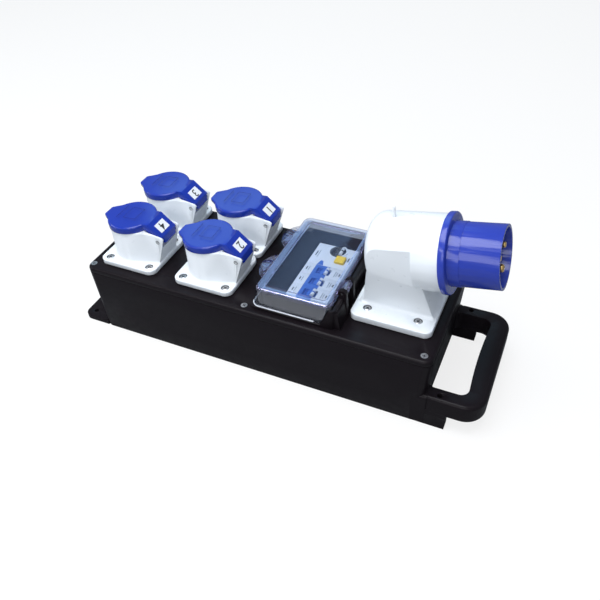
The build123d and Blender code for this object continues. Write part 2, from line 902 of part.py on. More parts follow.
def window_cover():
    outer = loft([hood_section(hood_low, 0, hood_right), hood_section(hood_top, 0, hood_right)])
    outer = fillet(top_edges(outer), hood_edge_radius)
    inset = hood_wall
    open_right = hood_right + hood_half_depth
    ceiling = hood_top - inset - pane_sink
    hood = outer - loft(
        [hood_section(hood_low, inset, open_right), hood_section(ceiling, inset, open_right)]
    )
    hood -= side_profile(
        [(cut_low_x, hood_low), (cut_high_x, rail_height + cut_gap), (90, rail_height + cut_gap),
         (90, 0), (cut_low_x, 0)],
        -90, 90,
    )
    hood -= rounded_block(
        hood_left + pane_inset, hood_right - pane_inset, -hood_half_depth + pane_inset,
        hood_half_depth - pane_inset, hood_top - pane_sink, hood_top, hood_corner / 2,
    )
    for side in (-1, 1):
        hood += finger_tab(side * tab_pitch / 2)
        y_low = side * window_knuckle_place - window_knuckle_length / 2
        y_high = y_low + window_knuckle_length
        hood += side_profile(
            [(hood_right - 5, hood_top - inset), (hood_right - 5, hood_top),
             (window_pin_x - 2.6, window_pin_z + 3.5), (window_pin_x, window_pin_z),
             (window_pin_x - 2.4, window_pin_z - 3.6)],
            y_low, y_high,
        )
        hood += cross_rod(window_pin_x, y_low, y_high, window_pin_z, window_knuckle_radius)
        hood -= cross_rod(window_pin_x, y_low, y_high, window_pin_z, window_pin_radius + bore_gap)
    return hood


# Breakers and their rail
def breaker(first, count):
    # Modular device seen from the side, with its nose through the lid.
    y_low = modules_start + first * module_width + module_gap / 2
    y_high = y_low + count * module_width - module_gap
    nose = nose_width / 2
    shoulder = shoulder_width / 2
    shoulder_z = nose_top - shoulder_drop
    foot = nose_top - rail_drop
    grip = rail_width / 2 + fit_gap
    points = [
        (-nose, nose_top), (nose, nose_top), (nose, shoulder_z), (shoulder, shoulder_z),
        (shoulder, foot), (grip + 4, foot), (grip + 4, foot - 2.5), (grip, foot - 2.5),
        (grip, foot), (-grip, foot), (-grip, foot - 2.5), (-grip - 4, foot - 2.5),
        (-grip - 4, foot), (-shoulder, foot), (-shoulder, shoulder_z), (-nose, shoulder_z),
    ]
    return side_profile([(x + breaker_x, z) for x, z in points], y_low, y_high)


def toggle_space(x, y, width):
    # Round pocket for the hub and a wider slot for the swing of the lever.
    half = width / 2 + toggle_slot_gap
    pocket = cross_rod(x, y - half, y + half, toggle_pivot_z, toggle_hub_radius + toggle_slot_gap)
    return pocket + block(
        x - toggle_slot_half, x + toggle_slot_half, y - half, y + half,
        nose_top - toggle_slot_depth, nose_top,
    )


def toggle(x, y, width):
    half = width / 2
    hub = cross_rod(x, y - half, y + half, toggle_pivot_z, toggle_hub_radius)
    lever = block(
        -toggle_lever / 2, toggle_lever / 2, y - half, y + half, 0, toggle_length
    )
    lever = fillet(lever.edges().filter_by(Axis.Y).group_by(Axis.Z)[-1], toggle_lever / 3)
    lever = Pos(x, 0, toggle_pivot_z) * Rot(0, toggle_rest, 0) * lever
    return hub + lever


def breaker_toggle_places():
    middle = modules_start + module_width / 2
    places = [(breaker_x + toggle_x, middle + i * module_width, toggle_width) for i in range(3)]
    return places + [(breaker_x + rcd_toggle_x, rcd_toggle_y, rcd_toggle_width)]


def rcd_body():
    body = breaker(3, 2)
    body -= toggle_space(*breaker_toggle_places()[3])
    half = button_size / 2 + button_gap
    return body - block(
        button_x + breaker_x - half, button_x + breaker_x + half, button_y - half, button_y + half,
        nose_top - button_well, nose_top,
    )


def test_button():
    half = button_size / 2
    x = breaker_x + button_x
    low = nose_top - button_well + button_travel + 0.3
    button = block(x - half, x + half, button_y - half, button_y + half, low, nose_top + button_height)
    return fillet(top_edges(button), 1.0)


def din_rail():
    top = nose_top - rail_drop
    outer = rail_width / 2
    inner = outer - 5
    low = top - rail_depth
    points = [
        (-outer, top), (-inner, top), (-inner, low + rail_sheet), (inner, low + rail_sheet),
        (inner, top), (outer, top), (outer, top - rail_sheet), (inner + rail_sheet, top - rail_sheet),
        (inner + rail_sheet, low), (-inner - rail_sheet, low), (-inner - rail_sheet, top - rail_sheet),
        (-outer, top - rail_sheet),
    ]
    half = frame_half_depth - rail_end_gap
    return side_profile([(x + breaker_x, z) for x, z in points], -half, half)


def rail_brackets():
    low = floor_thickness - lid_top
    top = nose_top - rail_drop - rail_depth
    half = frame_half_depth - rail_end_gap
    width = rail_width / 2 - 5
    pieces = []
    for side in (-1, 1):
        y_low, y_high = sorted((side * half, side * (half - bracket_length)))
        piece = block(breaker_x - width, breaker_x + width, y_low, y_high, low, top)
        pieces.append(piece)
    return pieces


# Write every piece in its place
def on_lid(x, y):
    return Pos(x, y, lid_top)


window_place = on_lid(window_x, window_offset)
inlet_place = on_lid(inlet_x, inlet_offset)
body = socket_body()
insert = socket_insert()
contacts = socket_contacts()
lid = socket_lid()
plate = number_plate()
seal = lid_seal()
half_length = flange_length / 2
gasket = flange_gasket(
    half_length, half_length, flange_width / 2, flange_corner,
    barrel_shift, well_radius, socket_screw_pitch,
)
seat = gasket_thickness + flange_thickness - screw_recess_depth
screws = flange_screws(socket_screw_pitch, seat)
gaskets = []
all_screws = []
pins = []
for number, (x, y) in enumerate(socket_places, 1):
    place = on_lid(x, y)
    save(place * body, f"socket_body_{number}")
    save(place * insert, f"socket_insert_{number}")
    save(group(place * sleeve for sleeve in contacts), f"socket_contacts_{number}")
    save(place * lid, f"socket_lid_{number}")
    save(place * plate, f"number_plate_{number}")
    save(place * seal, f"lid_seal_{number}")
    gaskets.append(place * gasket)
    all_screws.extend(place * screw for screw in screws)
    pins.append(place * lid_hinge_pin())
save(group(gaskets), "socket_gaskets")
save(group(all_screws), "socket_screws")
save(group(pins), "lid_hinge_pins")

save(base_housing(), "base_housing")
save(lid_plate(), "lid_plate")
save(lid_gasket(), "lid_gasket")
save(group(countersunk(x, y, 0) for x, y in lid_screw_places()), "lid_screws")

inlet_seat = gasket_thickness + inlet_flange_thickness - screw_recess_depth
save(inlet_place * inlet_housing(), "inlet_housing")
save(inlet_place * inlet_shroud(), "inlet_shroud")
save(inlet_place * inlet_pin_carrier(), "inlet_pin_carrier")
save(group(inlet_place * pin for pin in inlet_pins()), "inlet_pins")
inlet_gasket = flange_gasket(
    inlet_flange_left, inlet_flange_right, inlet_flange_half_width, inlet_flange_corner,
    0, cable_bore / 2, inlet_screw_pitch,
)
save(inlet_place * inlet_gasket, "inlet_gasket")
inlet_screw_set = flange_screws(inlet_screw_pitch, inlet_seat)
save(group(inlet_place * screw for screw in inlet_screw_set), "inlet_screws")

save(window_place * window_frame(), "window_frame")
save(window_place * window_cover(), "window_cover")
save(group(window_place * screw for screw in window_screws()), "window_screws")
save(group(window_place * pin for pin in window_hinge_pins()), "window_hinge_pins")
toggle_places = breaker_toggle_places()
for index in range(3):
    device = breaker(index, 1) - toggle_space(*toggle_places[index])
    save(window_place * device, f"breaker_{index + 1}")
    save(window_place * toggle(*toggle_places[index]), f"breaker_toggle_{index + 1}")
save(window_place * rcd_body(), "rcd_body")
save(window_place * toggle(*toggle_places[3]), "rcd_toggle")
save(window_place * test_button(), "test_button")
save(window_place * din_rail(), "din_rail")
save(group(window_place * piece for piece in rail_brackets()), "rail_brackets")
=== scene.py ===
import json
import math

import bmesh
import bpy
from mathutils import Matrix, Vector


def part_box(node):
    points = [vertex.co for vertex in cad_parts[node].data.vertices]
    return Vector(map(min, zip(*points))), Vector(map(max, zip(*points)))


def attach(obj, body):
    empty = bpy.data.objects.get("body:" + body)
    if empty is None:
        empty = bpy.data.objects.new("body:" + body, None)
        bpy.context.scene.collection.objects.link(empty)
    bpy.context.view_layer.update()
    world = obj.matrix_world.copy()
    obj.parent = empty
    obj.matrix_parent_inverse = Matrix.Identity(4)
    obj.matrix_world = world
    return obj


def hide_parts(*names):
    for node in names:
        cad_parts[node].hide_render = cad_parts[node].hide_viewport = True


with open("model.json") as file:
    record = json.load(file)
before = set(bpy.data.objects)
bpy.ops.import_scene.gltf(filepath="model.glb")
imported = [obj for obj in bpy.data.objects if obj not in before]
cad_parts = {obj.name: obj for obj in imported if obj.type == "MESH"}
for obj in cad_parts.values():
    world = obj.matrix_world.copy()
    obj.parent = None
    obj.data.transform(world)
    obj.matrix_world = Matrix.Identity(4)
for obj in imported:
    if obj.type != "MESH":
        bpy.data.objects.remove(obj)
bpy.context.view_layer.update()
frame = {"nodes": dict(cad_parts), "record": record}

scene = bpy.context.scene
cadNodes = frame["nodes"]
mm = 0.001


# Shader helpers

def newMaterial(name):
    material = bpy.data.materials.new(name)
    material.use_nodes = True
    tree = material.node_tree
    return material, tree, tree.nodes["Principled BSDF"]


def objectCoords(tree):
    return tree.nodes.new("ShaderNodeTexCoord").outputs["Object"]


def noiseValue(tree, coords, scale, detail=2.0, roughness=0.5):
    node = tree.nodes.new("ShaderNodeTexNoise")
    node.inputs["Scale"].default_value = scale
    node.inputs["Detail"].default_value = detail
    node.inputs["Roughness"].default_value = roughness
    tree.links.new(coords, node.inputs["Vector"])
    return node.outputs["Fac"]


def spread(tree, value, low, high, start=0.3, end=0.7):
    node = tree.nodes.new("ShaderNodeMapRange")
    for name, number in (("From Min", start), ("From Max", end), ("To Min", low), ("To Max", high)):
        node.inputs[name].default_value = number
    tree.links.new(value, node.inputs["Value"])
    return node.outputs["Result"]


def blendColour(tree, factor, first, second):
    node = tree.nodes.new("ShaderNodeMix")
    node.data_type = "RGBA"
    for socket, colour in ((node.inputs[6], first), (node.inputs[7], second)):
        if isinstance(colour, tuple):
            socket.default_value = (*colour, 1.0)
        else:
            tree.links.new(colour, socket)
    tree.links.new(factor, node.inputs[0])
    return node.outputs[2]


def bumpFrom(tree, height, strength, distance, below=None):
    node = tree.nodes.new("ShaderNodeBump")
    node.inputs["Strength"].default_value = strength
    node.inputs["Distance"].default_value = distance
    tree.links.new(height, node.inputs["Height"])
    if below is not None:
        tree.links.new(below, node.inputs["Normal"])
    return node.outputs["Normal"]


def mathNode(tree, kind, first, second=0.0):
    node = tree.nodes.new("ShaderNodeMath")
    node.operation = kind
    for socket, value in ((node.inputs[0], first), (node.inputs[1], second)):
        if isinstance(value, float):
            socket.default_value = value
        else:
            tree.links.new(value, socket)
    return node.outputs["Value"]


def axisValues(tree, coords):
    node = tree.nodes.new("ShaderNodeSeparateXYZ")
    tree.links.new(coords, node.inputs[0])
    return node.outputs


def fieldMask(tree, coords, field):
    # 1 within the radius of an axis through the centre, 0 outside it.
    away = tree.nodes.new("ShaderNodeVectorMath")
    away.operation = "SUBTRACT"
    away.inputs[1].default_value = field["centre"]
    tree.links.new(coords, away.inputs[0])
    flat = tree.nodes.new("ShaderNodeVectorMath")
    flat.operation = "MULTIPLY"
    flat.inputs[1].default_value = field["plane"]
    tree.links.new(away.outputs[0], flat.inputs[0])
    length = tree.nodes.new("ShaderNodeVectorMath")
    length.operation = "LENGTH"
    tree.links.new(flat.outputs[0], length.inputs[0])
    return spread(tree, length.outputs["Value"], 1.0, 0.0, field["radius"] - 0.05 * mm, field["radius"] + 0.05 * mm)


# Materials of the object

def surface(name, look):
    # Cloudy colour, uneven gloss and a fine moulded grain.
    material, tree, shader = newMaterial(name)
    coords = objectCoords(tree)
    base = look["colour"]
    shift = look.get("shift", 0.06)
    dark = tuple(c * (1 - shift) for c in base)
    light = tuple(min(1.0, c * (1 + shift)) for c in base)
    cloud = noiseValue(tree, coords, look.get("cloudScale", 45.0))
    colour = blendColour(tree, cloud, dark, light)
    for field in look.get("fields", ()):
        colour = blendColour(tree, fieldMask(tree, coords, field), colour, field["colour"])
    tree.links.new(colour, shader.inputs["Base Color"])
    gloss = noiseValue(tree, coords, look.get("glossScale", 160.0))
    rough = look["rough"]
    tree.links.new(spread(tree, gloss, rough * 0.85, rough * 1.15), shader.inputs["Roughness"])
    grain = noiseValue(tree, coords, look.get("grainScale", 2200.0), 1.0)
    normal = bumpFrom(tree, grain, look.get("grain", 0.15), look.get("grainDepth", 0.00006))
    tree.links.new(normal, shader.inputs["Normal"])
    shader.inputs["Metallic"].default_value = look.get("metal", 0.0)
    shader.inputs["IOR"].default_value = look.get("ior", 1.46)
    shader.inputs["Specular IOR Level"].default_value = look.get("specular", 0.5)
    if "sheen" in look:
        shader.inputs["Coat Weight"].default_value = look["sheen"]
        shader.inputs["Coat Roughness"].default_value = look.get("sheenRough", 0.2)
    return material


plastics = {
    "housing_black": dict(colour=(0.0080, 0.0060, 0.0078), rough=0.4, grain=0.2, grainScale=2600.0, shift=0.1, specular=0.08, sheen=0.08),
    "gasket_black": dict(colour=(0.02, 0.02, 0.021), rough=0.75, grain=0.3, shift=0.15),
    "socket_white": dict(colour=(0.76, 0.80, 0.84), rough=0.32, grain=0.03, shift=0.012),
    "insert_white": dict(colour=(0.60, 0.63, 0.68), rough=0.45, grain=0.1, shift=0.02),
    "lid_blue": dict(colour=(0.007, 0.030, 0.32), rough=0.17, grain=0.02, shift=0.04),
    "shroud_blue": dict(colour=(0.022, 0.045, 0.36), rough=0.19, grain=0.03, shift=0.04),
    "label_white": dict(colour=(0.78, 0.80, 0.84), rough=0.5, grain=0.05, shift=0.02),
    "contact_brass": dict(colour=(0.72, 0.48, 0.18), rough=0.28, metal=1.0, grain=0.05, shift=0.1),
    "screw_steel": dict(colour=(0.50, 0.50, 0.51), rough=0.32, metal=1.0, grain=0.08, shift=0.08),
    "breaker_white": dict(colour=(0.70, 0.74, 0.81), rough=0.42, grain=0.05, shift=0.03),
    "toggle_white": dict(colour=(0.74, 0.78, 0.84), rough=0.3, grain=0.05, shift=0.02),
    "button_yellow": dict(colour=(0.98, 0.64, 0.004), rough=0.32, grain=0.04, shift=0.03),
    "rail_steel": dict(colour=(0.55, 0.55, 0.53), rough=0.38, metal=1.0, grain=0.2, shift=0.12),
}
finishes = {slot: surface(slot, look) for slot, look in plastics.items()}


def clearPlastic(look):
    # Thin clear polycarbonate: mostly see-through, paler and shinier towards its edges.
    material, tree, shader = newMaterial("hood_clear")
    coords = objectCoords(tree)
    flow = noiseValue(tree, coords, look["flowScale"])
    tree.links.new(spread(tree, flow, look["rough"], look["rough"] * 2), shader.inputs["Roughness"])
    tree.links.new(bumpFrom(tree, flow, look["wave"], 0.0002), shader.inputs["Normal"])
    shader.inputs["Metallic"].default_value = look["metal"]
    clear = tree.nodes.new("ShaderNodeBsdfTransparent")
    facing = tree.nodes.new("ShaderNodeLayerWeight")
    facing.inputs["Blend"].default_value = look["edgeBlend"]
    x, y, z = axisValues(tree, coords)
    height = spread(tree, z, 0.0, 1.0, look["paneLow"] - 1.5 * mm, look["paneLow"])
    wallTint = blendColour(tree, flow, look["wallTint"], look["wallTintDeep"])
    tree.links.new(blendColour(tree, height, wallTint, look["tint"]), shader.inputs["Base Color"])
    straight = blendColour(tree, height, look["wall"], look["through"])
    tree.links.new(blendColour(tree, facing.outputs["Facing"], straight, look["throughEdge"]), clear.inputs["Color"])
    power = tree.nodes.new("ShaderNodeMath")
    power.operation = "POWER"
    power.inputs[1].default_value = look["edgePower"]
    tree.links.new(facing.outputs["Facing"], power.inputs[0])
    share = spread(tree, power.outputs["Value"], look["least"], look["most"], 0.0, 1.0)
    tree.links.new(spread(tree, height, look["leastWall"], look["least"], 0.0, 1.0), share.node.inputs["To Min"])
    # Distance from the edge of the top, for its thicker border and the bright lines along it.
    gaps = []
    for value, middle, half in ((x, look["middle"][0], look["half"][0]), (y, look["middle"][1], look["half"][1])):
        gaps.append(mathNode(tree, "SUBTRACT", half, mathNode(tree, "ABSOLUTE", mathNode(tree, "SUBTRACT", value, middle))))
    gap = mathNode(tree, "MINIMUM", gaps[0], gaps[1])
    haze = spread(tree, gap, look["borderHaze"], 0.0, look["border"] - 0.2 * mm, look["border"])
    for place, width in look["lines"]:
        away = mathNode(tree, "ABSOLUTE", mathNode(tree, "SUBTRACT", gap, place))
        haze = mathNode(tree, "MAXIMUM", haze, spread(tree, away, look["lineHaze"], 0.0, width / 2, width))
    share = mathNode(tree, "ADD", share, mathNode(tree, "MULTIPLY", haze, height))
    mix = tree.nodes.new("ShaderNodeMixShader")
    tree.links.new(share, mix.inputs[0])
    tree.links.new(clear.outputs[0], mix.inputs[1])
    tree.links.new(shader.outputs[0], mix.inputs[2])
    tree.links.new(mix.outputs[0], tree.nodes["Material Output"].inputs["Surface"])
    return material


hoodLook = dict(
    tint=(0.70, 0.67, 0.95), wallTint=(0.95, 0.93, 0.96), wallTintDeep=(0.86, 0.84, 0.86),
    rough=0.04, wave=0.006, flowScale=60.0, metal=1.0,
    through=(0.97, 0.98, 0.99), wall=(0.74, 0.77, 0.82), paneLow=113.6 * mm,
    middle=(39.9 * mm, 2.8 * mm), half=(41.5 * mm, 66.9 * mm), border=8.0 * mm, borderHaze=0.14,
    lines=((1.6 * mm, 0.7 * mm), (8.0 * mm, 0.5 * mm)), lineHaze=0.36,
    throughEdge=(0.66, 0.70, 0.76), edgeBlend=0.5, edgePower=4.5, least=0.024, leastWall=0.2, most=0.8,
)
finishes["hood_clear"] = clearPlastic(hoodLook)
print("materials made:", len(finishes))


# Edges of the carried CAD pieces

edgeLook = dict(width=0.35 * mm, angle=28.0, segments=2)
plainEdges = ("contacts", "seal", "number_plate", "gasket", "rail_brackets", "pins")


def softenEdges(piece, width):
    weld = piece.modifiers.new("weld", "WELD")
    weld.merge_threshold = 0.002 * mm
    bevel = piece.modifiers.new("edges", "BEVEL")
    bevel.width = width
    bevel.segments = edgeLook["segments"]
    bevel.angle_limit = math.radians(edgeLook["angle"])
    bevel.limit_method = "ANGLE"
    bevel.harden_normals = True
    bevel.use_clamp_overlap = True
    for polygon in piece.data.polygons:
        polygon.use_smooth = True


slotOf = {row["node"]: row["material_slot"] for row in frame["record"]["subparts"]}
for name, piece in cadNodes.items():
    piece.data.materials.clear()
    piece.data.materials.append(finishes[slotOf[name]])
    if not any(word in name for word in plainEdges):
        softenEdges(piece, edgeLook["width"])
print("CAD pieces dressed:", len(cadNodes))


# Mesh helpers

def meshObject(name, mesh, slot, body):
    piece = bpy.data.objects.new(name, mesh)
    scene.collection.objects.link(piece)
    if slot:
        mesh.materials.append(finishes[slot])
    if body:
        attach(piece, body)
    return piece


def bmToMesh(bm, name):
    mesh = bpy.data.meshes.new(name)
    bm.to_mesh(mesh)
    bm.free()
    return mesh


def joinMeshes(name, meshes):
    bm = bmesh.new()
    for mesh in meshes:
        bm.from_mesh(mesh)
        bpy.data.meshes.remove(mesh)
    return bmToMesh(bm, name)


def lathe(profile, steps):
    # A closed body of revolution about Z from radius and height pairs.
    bm = bmesh.new()
    rings = []
    for radius, height in profile:
        if radius == 0:
            rings.append([bm.verts.new((0, 0, height))])
            continue
        ring = []
        for step in range(steps):
            turn = 2 * math.pi * step / steps
            ring.append(bm.verts.new((radius * math.cos(turn), radius * math.sin(turn), height)))
        rings.append(ring)
    for low, high in zip(rings, rings[1:]):
        for step in range(steps):
            after = (step + 1) % steps
            corners = [low[step % len(low)], low[after % len(low)], high[after % len(high)], high[step % len(high)]]
            corners = list(dict.fromkeys(corners))
            if len(corners) > 2:
                bm.faces.new(corners)
    bmesh.ops.recalc_face_normals(bm, faces=bm.faces)
    return bm


def islandTops(node):
    # Centre and top height of every separate solid in a CAD node.
    bm = bmesh.new()
    bm.from_mesh(node.data)
    bmesh.ops.remove_doubles(bm, verts=bm.verts, dist=0.001 * mm)
    left = set(bm.verts)
    tops = []
    while left:
        seed = left.pop()
        island, queue = [seed], [seed]
        while queue:
            vert = queue.pop()
            for edge in vert.link_edges:
                other = edge.other_vert(vert)
                if other in left:
                    left.remove(other)
                    island.append(other)
                    queue.append(other)
        xs = [v.co.x for v in island]
        ys = [v.co.y for v in island]
        top = max(v.co.z for v in island)
        tops.append(Vector(((min(xs) + max(xs)) / 2, (min(ys) + max(ys)) / 2, top)))
    bm.free()
    return sorted(tops, key=lambda p: (round(p.x, 4), round(p.y, 4)))


def cutWith(body, cutter):
    # Boolean difference of two loose meshes, returned as a new mesh.
    bodyObject = bpy.data.objects.new("cutBody", body)
    cutObject = bpy.data.objects.new("cutTool", cutter)
    scene.collection.objects.link(bodyObject)
    scene.collection.objects.link(cutObject)
    change = bodyObject.modifiers.new("cut", "BOOLEAN")
    change.operation = "DIFFERENCE"
    change.object = cutObject
    change.solver = "EXACT"
    change.use_self = True
    depsgraph = bpy.context.evaluated_depsgraph_get()
    mesh = bpy.data.meshes.new_from_object(bodyObject.evaluated_get(depsgraph))
    bpy.data.objects.remove(bodyObject)
    bpy.data.objects.remove(cutObject)
    return mesh


# Screw heads, repeated with Geometry Nodes

def crossTool(reach, width, depth, top):
    # Two tapered bars crossing, for the driver recess.
    bm = bmesh.new()
    for turn in (0, math.pi / 2):
        made = bmesh.ops.create_cube(bm, size=1.0)["verts"]
        for vert in made:
            narrow = 0.45 if vert.co.z < 0 else 1.0
            x = vert.co.x * 2 * reach * narrow
            y = vert.co.y * width * (0.7 if vert.co.z < 0 else 1.0)
            z = top + 0.2 * mm if vert.co.z > 0 else top - depth
            vert.co = Vector((x * math.cos(turn) - y * math.sin(turn), x * math.sin(turn) + y * math.cos(turn), z))
    return bmToMesh(bm, "crossTool")


def panHead(look):
    radius, height = look["radius"], look["height"]
    profile = [(0, 0), (radius, 0), (radius, height * 0.35)]
    for step in range(1, 6):
        turn = math.radians(90 * step / 5)
        profile.append((radius - height * 0.65 * (1 - math.cos(turn)) * 1.6, height * (0.35 + 0.65 * math.sin(turn))))
    profile.append((0, height))
    head = bmToMesh(lathe(profile, 32), "panHead")
    return cutWith(head, crossTool(look["recess"], look["slot"], look["depth"], height))


def scatterTree(name):
    tree = bpy.data.node_groups.new(name, "GeometryNodeTree")
    face = tree.interface
    face.new_socket("Points", in_out="INPUT", socket_type="NodeSocketGeometry")
    face.new_socket("Head", in_out="INPUT", socket_type="NodeSocketObject")
    face.new_socket("Finish", in_out="INPUT", socket_type="NodeSocketMaterial")
    face.new_socket("Seed", in_out="INPUT", socket_type="NodeSocketInt")
    face.new_socket("Heads", in_out="OUTPUT", socket_type="NodeSocketGeometry")
    start = tree.nodes.new("NodeGroupInput")
    end = tree.nodes.new("NodeGroupOutput")
    info = tree.nodes.new("GeometryNodeObjectInfo")
    onPoints = tree.nodes.new("GeometryNodeInstanceOnPoints")
    turn = tree.nodes.new("FunctionNodeRandomValue")
    turn.data_type = "FLOAT_VECTOR"
    turn.inputs[0].default_value = (0, 0, 0)
    turn.inputs[1].default_value = (0, 0, 2 * math.pi)
    realize = tree.nodes.new("GeometryNodeRealizeInstances")
    finish = tree.nodes.new("GeometryNodeSetMaterial")
    link = tree.links.new
    link(start.outputs["Points"], onPoints.inputs["Points"])
    link(start.outputs["Head"], info.inputs["Object"])
    link(info.outputs["Geometry"], onPoints.inputs["Instance"])
    link(start.outputs["Seed"], turn.inputs["Seed"])
    link(turn.outputs["Value"], onPoints.inputs["Rotation"])
    link(onPoints.outputs["Instances"], realize.inputs["Geometry"])
    link(realize.outputs["Geometry"], finish.inputs["Geometry"])
    link(start.outputs["Finish"], finish.inputs["Material"])
    link(finish.outputs["Geometry"], end.inputs["Heads"])
    return tree


screwTree = scatterTree("screwsOnPoints")


def scatter(name, points, headMesh, slot, body, seed, finish=None):
    # Puts the head on every point with the node tree and keeps the result as one plain mesh.
    cloud = bpy.data.meshes.new(name + "Points")
    cloud.from_pydata(points, [], [])
    holder = bpy.data.objects.new(name + "Holder", cloud)
    head = bpy.data.objects.new(name + "Head", headMesh)
    scene.collection.objects.link(holder)
    scene.collection.objects.link(head)
    change = holder.modifiers.new("scatter", "NODES")
    change.node_group = screwTree
    for item in screwTree.interface.items_tree:
        if item.in_out == "INPUT" and item.name in ("Head", "Finish", "Seed"):
            change[item.identifier] = {"Head": head, "Finish": finish or finishes[slot], "Seed": seed}[item.name]
    depsgraph = bpy.context.evaluated_depsgraph_get()
    mesh = bpy.data.meshes.new_from_object(holder.evaluated_get(depsgraph))
    bpy.data.objects.remove(holder)
    bpy.data.objects.remove(head)
    piece = bpy.data.objects.new(name, mesh)
    scene.collection.objects.link(piece)
    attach(piece, body)
    return piece


screwLook = dict(radius=3.7 * mm, height=1.8 * mm, recess=2.4 * mm, slot=1.2 * mm, depth=1.5 * mm, seed=4)
countersunkLook = dict(radius=3.6 * mm, height=1.6 * mm, recess=2.3 * mm, slot=1.1 * mm, depth=1.4 * mm, seed=9)

darkScrew = surface("darkScrew", dict(colour=(0.05, 0.05, 0.055), rough=0.5, grain=0.1, shift=0.1))
# Dark colour painted as shade: rings in the screw recesses and floors of the driver crosses.
paintedRecessShade = dict(inner=3.75 * mm, outer=4.55 * mm, low=0.02 * mm, high=1.2 * mm, crossDrop=0.45 * mm, colour=(0.045, 0.048, 0.055))
paintedShadeMaterial = surface("paintedRecessShade", dict(colour=paintedRecessShade["colour"], rough=0.6, grain=0.05, shift=0.1))


def ringMesh(inner, outer, low, high, place, steps=32):
    bm = bmesh.new()
    rows = []
    for step in range(steps):
        turn = 2 * math.pi * step / steps
        c, s = math.cos(turn), math.sin(turn)
        rows.append([bm.verts.new((r * c, r * s, z)) for r, z in ((inner, low), (outer, low), (outer, high), (inner, high))])
    for step in range(steps):
        first, second = rows[step], rows[(step + 1) % steps]
        for k in range(4):
            n = (k + 1) % 4
            bm.faces.new((first[k], first[n], second[n], second[k]))
    bmesh.ops.recalc_face_normals(bm, faces=bm.faces)
    bmesh.ops.translate(bm, vec=place, verts=bm.verts)
    return bmToMesh(bm, "ring")


def crossFloors(name, places, look, top):
    # Dark floor of painted shade in each driver recess, turned with its head.
    cross = crossTool(look["recess"] * 0.97, look["slot"] * 0.95, look["depth"], top - paintedRecessShade["crossDrop"])
    scatter(name + "_crosses", places, cross, "screw_steel", "housing", look["seed"], paintedShadeMaterial)


def recessShades(name, places, look):
    # Dark ring of painted shade round each head, in the bottom of its recess.
    mesh = joinMeshes("shades", [ringMesh(look["inner"], look["outer"], look["low"], look["high"], p) for p in places])
    mesh.materials.append(paintedShadeMaterial)
    piece = bpy.data.objects.new(name + "_shades", mesh)
    scene.collection.objects.link(piece)
    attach(piece, "housing")


for nodeName in ("socket_screws", "inlet_screws", "window_screws"):
    places = [p - Vector((0, 0, screwLook["height"])) for p in islandTops(cadNodes[nodeName])]
    finish = darkScrew if nodeName == "window_screws" else None
    heads = scatter(nodeName + "_heads", places, panHead(screwLook), "screw_steel", "housing", screwLook["seed"], finish)
    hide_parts(nodeName)
    if finish is None:
        recessShades(nodeName, places, paintedRecessShade)
    crossFloors(nodeName, places, screwLook, screwLook["height"])


def flatHead(look):
    profile = [(0, -look["height"]), (look["radius"] * 0.7, -look["height"]), (look["radius"], -0.15 * mm), (look["radius"], -0.05 * mm), (look["radius"] - 0.1 * mm, 0), (0, 0)]
    head = bmToMesh(lathe(profile, 32), "flatHead")
    return cutWith(head, crossTool(look["recess"], look["slot"], look["depth"], 0.0))


places = islandTops(cadNodes["lid_screws"])
heads = scatter("lid_screw_heads", places, flatHead(countersunkLook), "screw_steel", "housing", countersunkLook["seed"])
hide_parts("lid_screws")
crossFloors("lid_screws", places, countersunkLook, 0.0)
print("screw heads placed")


# Numbers on the plates

digitLook = dict(size=13.2 * mm, thickness=0.06 * mm, weight=0.08 * mm, ink=(0.01, 0.01, 0.012))
inkMaterial = surface("printedInk", dict(colour=digitLook["ink"], rough=0.5, grain=0.05, shift=0.2))


def topPlane(node):
    # Middle and normal of the largest face that looks upwards.
    area = 0
    for polygon in node.data.polygons:
        if polygon.normal.z > 0.3 and polygon.area > area:
            area = polygon.area
            normal = polygon.normal.copy()
    points = [v.co for v in node.data.vertices]
    reach = max(p.dot(normal) for p in points)
    rim = [p for p in points if p.dot(normal) > reach - 0.01 * mm]
    low = Vector(map(min, zip(*rim)))
    high = Vector(map(max, zip(*rim)))
    return (low + high) / 2, normal


def printDigit(text, number):
    curve = bpy.data.curves.new("digit", "FONT")
    curve.body = text
    curve.size = digitLook["size"]
    curve.extrude = digitLook["thickness"] / 2
    curve.offset = digitLook["weight"]
    curve.align_x = "CENTER"
    curve.align_y = "CENTER"
    holder = bpy.data.objects.new("digitHolder", curve)
    scene.collection.objects.link(holder)
    depsgraph = bpy.context.evaluated_depsgraph_get()
    mesh = bpy.data.meshes.new_from_object(holder.evaluated_get(depsgraph))
    bpy.data.objects.remove(holder)
    centre, normal = topPlane(cadNodes[f"number_plate_{number}"])
    across = Vector((0, -1, 0))
    upwards = normal.cross(across)
    place = Matrix((across, upwards, normal)).transposed().to_4x4()
    place.translation = centre + normal * digitLook["thickness"] * 0.4
    mesh.transform(place)
    mesh.materials.clear()
    mesh.materials.append(inkMaterial)
    piece = meshObject(f"digit_{number}", mesh, None, f"lid_{number}")
    return piece


for number in range(1, 5):
    printDigit(str(number), number)
print("digits printed")


# Coloured fields on the breakers

def plateMesh(name, xLow, xHigh, yLow, yHigh, zLow, zHigh, edge=0.0):
    bm = bmesh.new()
    bmesh.ops.create_cube(bm, size=1.0)
    for vert in bm.verts:
        vert.co.x = xHigh if vert.co.x > 0 else xLow
        vert.co.y = yHigh if vert.co.y > 0 else yLow
        vert.co.z = zHigh if vert.co.z > 0 else zLow
    if edge:
        bmesh.ops.bevel(bm, geom=bm.edges[:], offset=edge, segments=2, affect="EDGES", profile=0.5)
    return bmToMesh(bm, name)


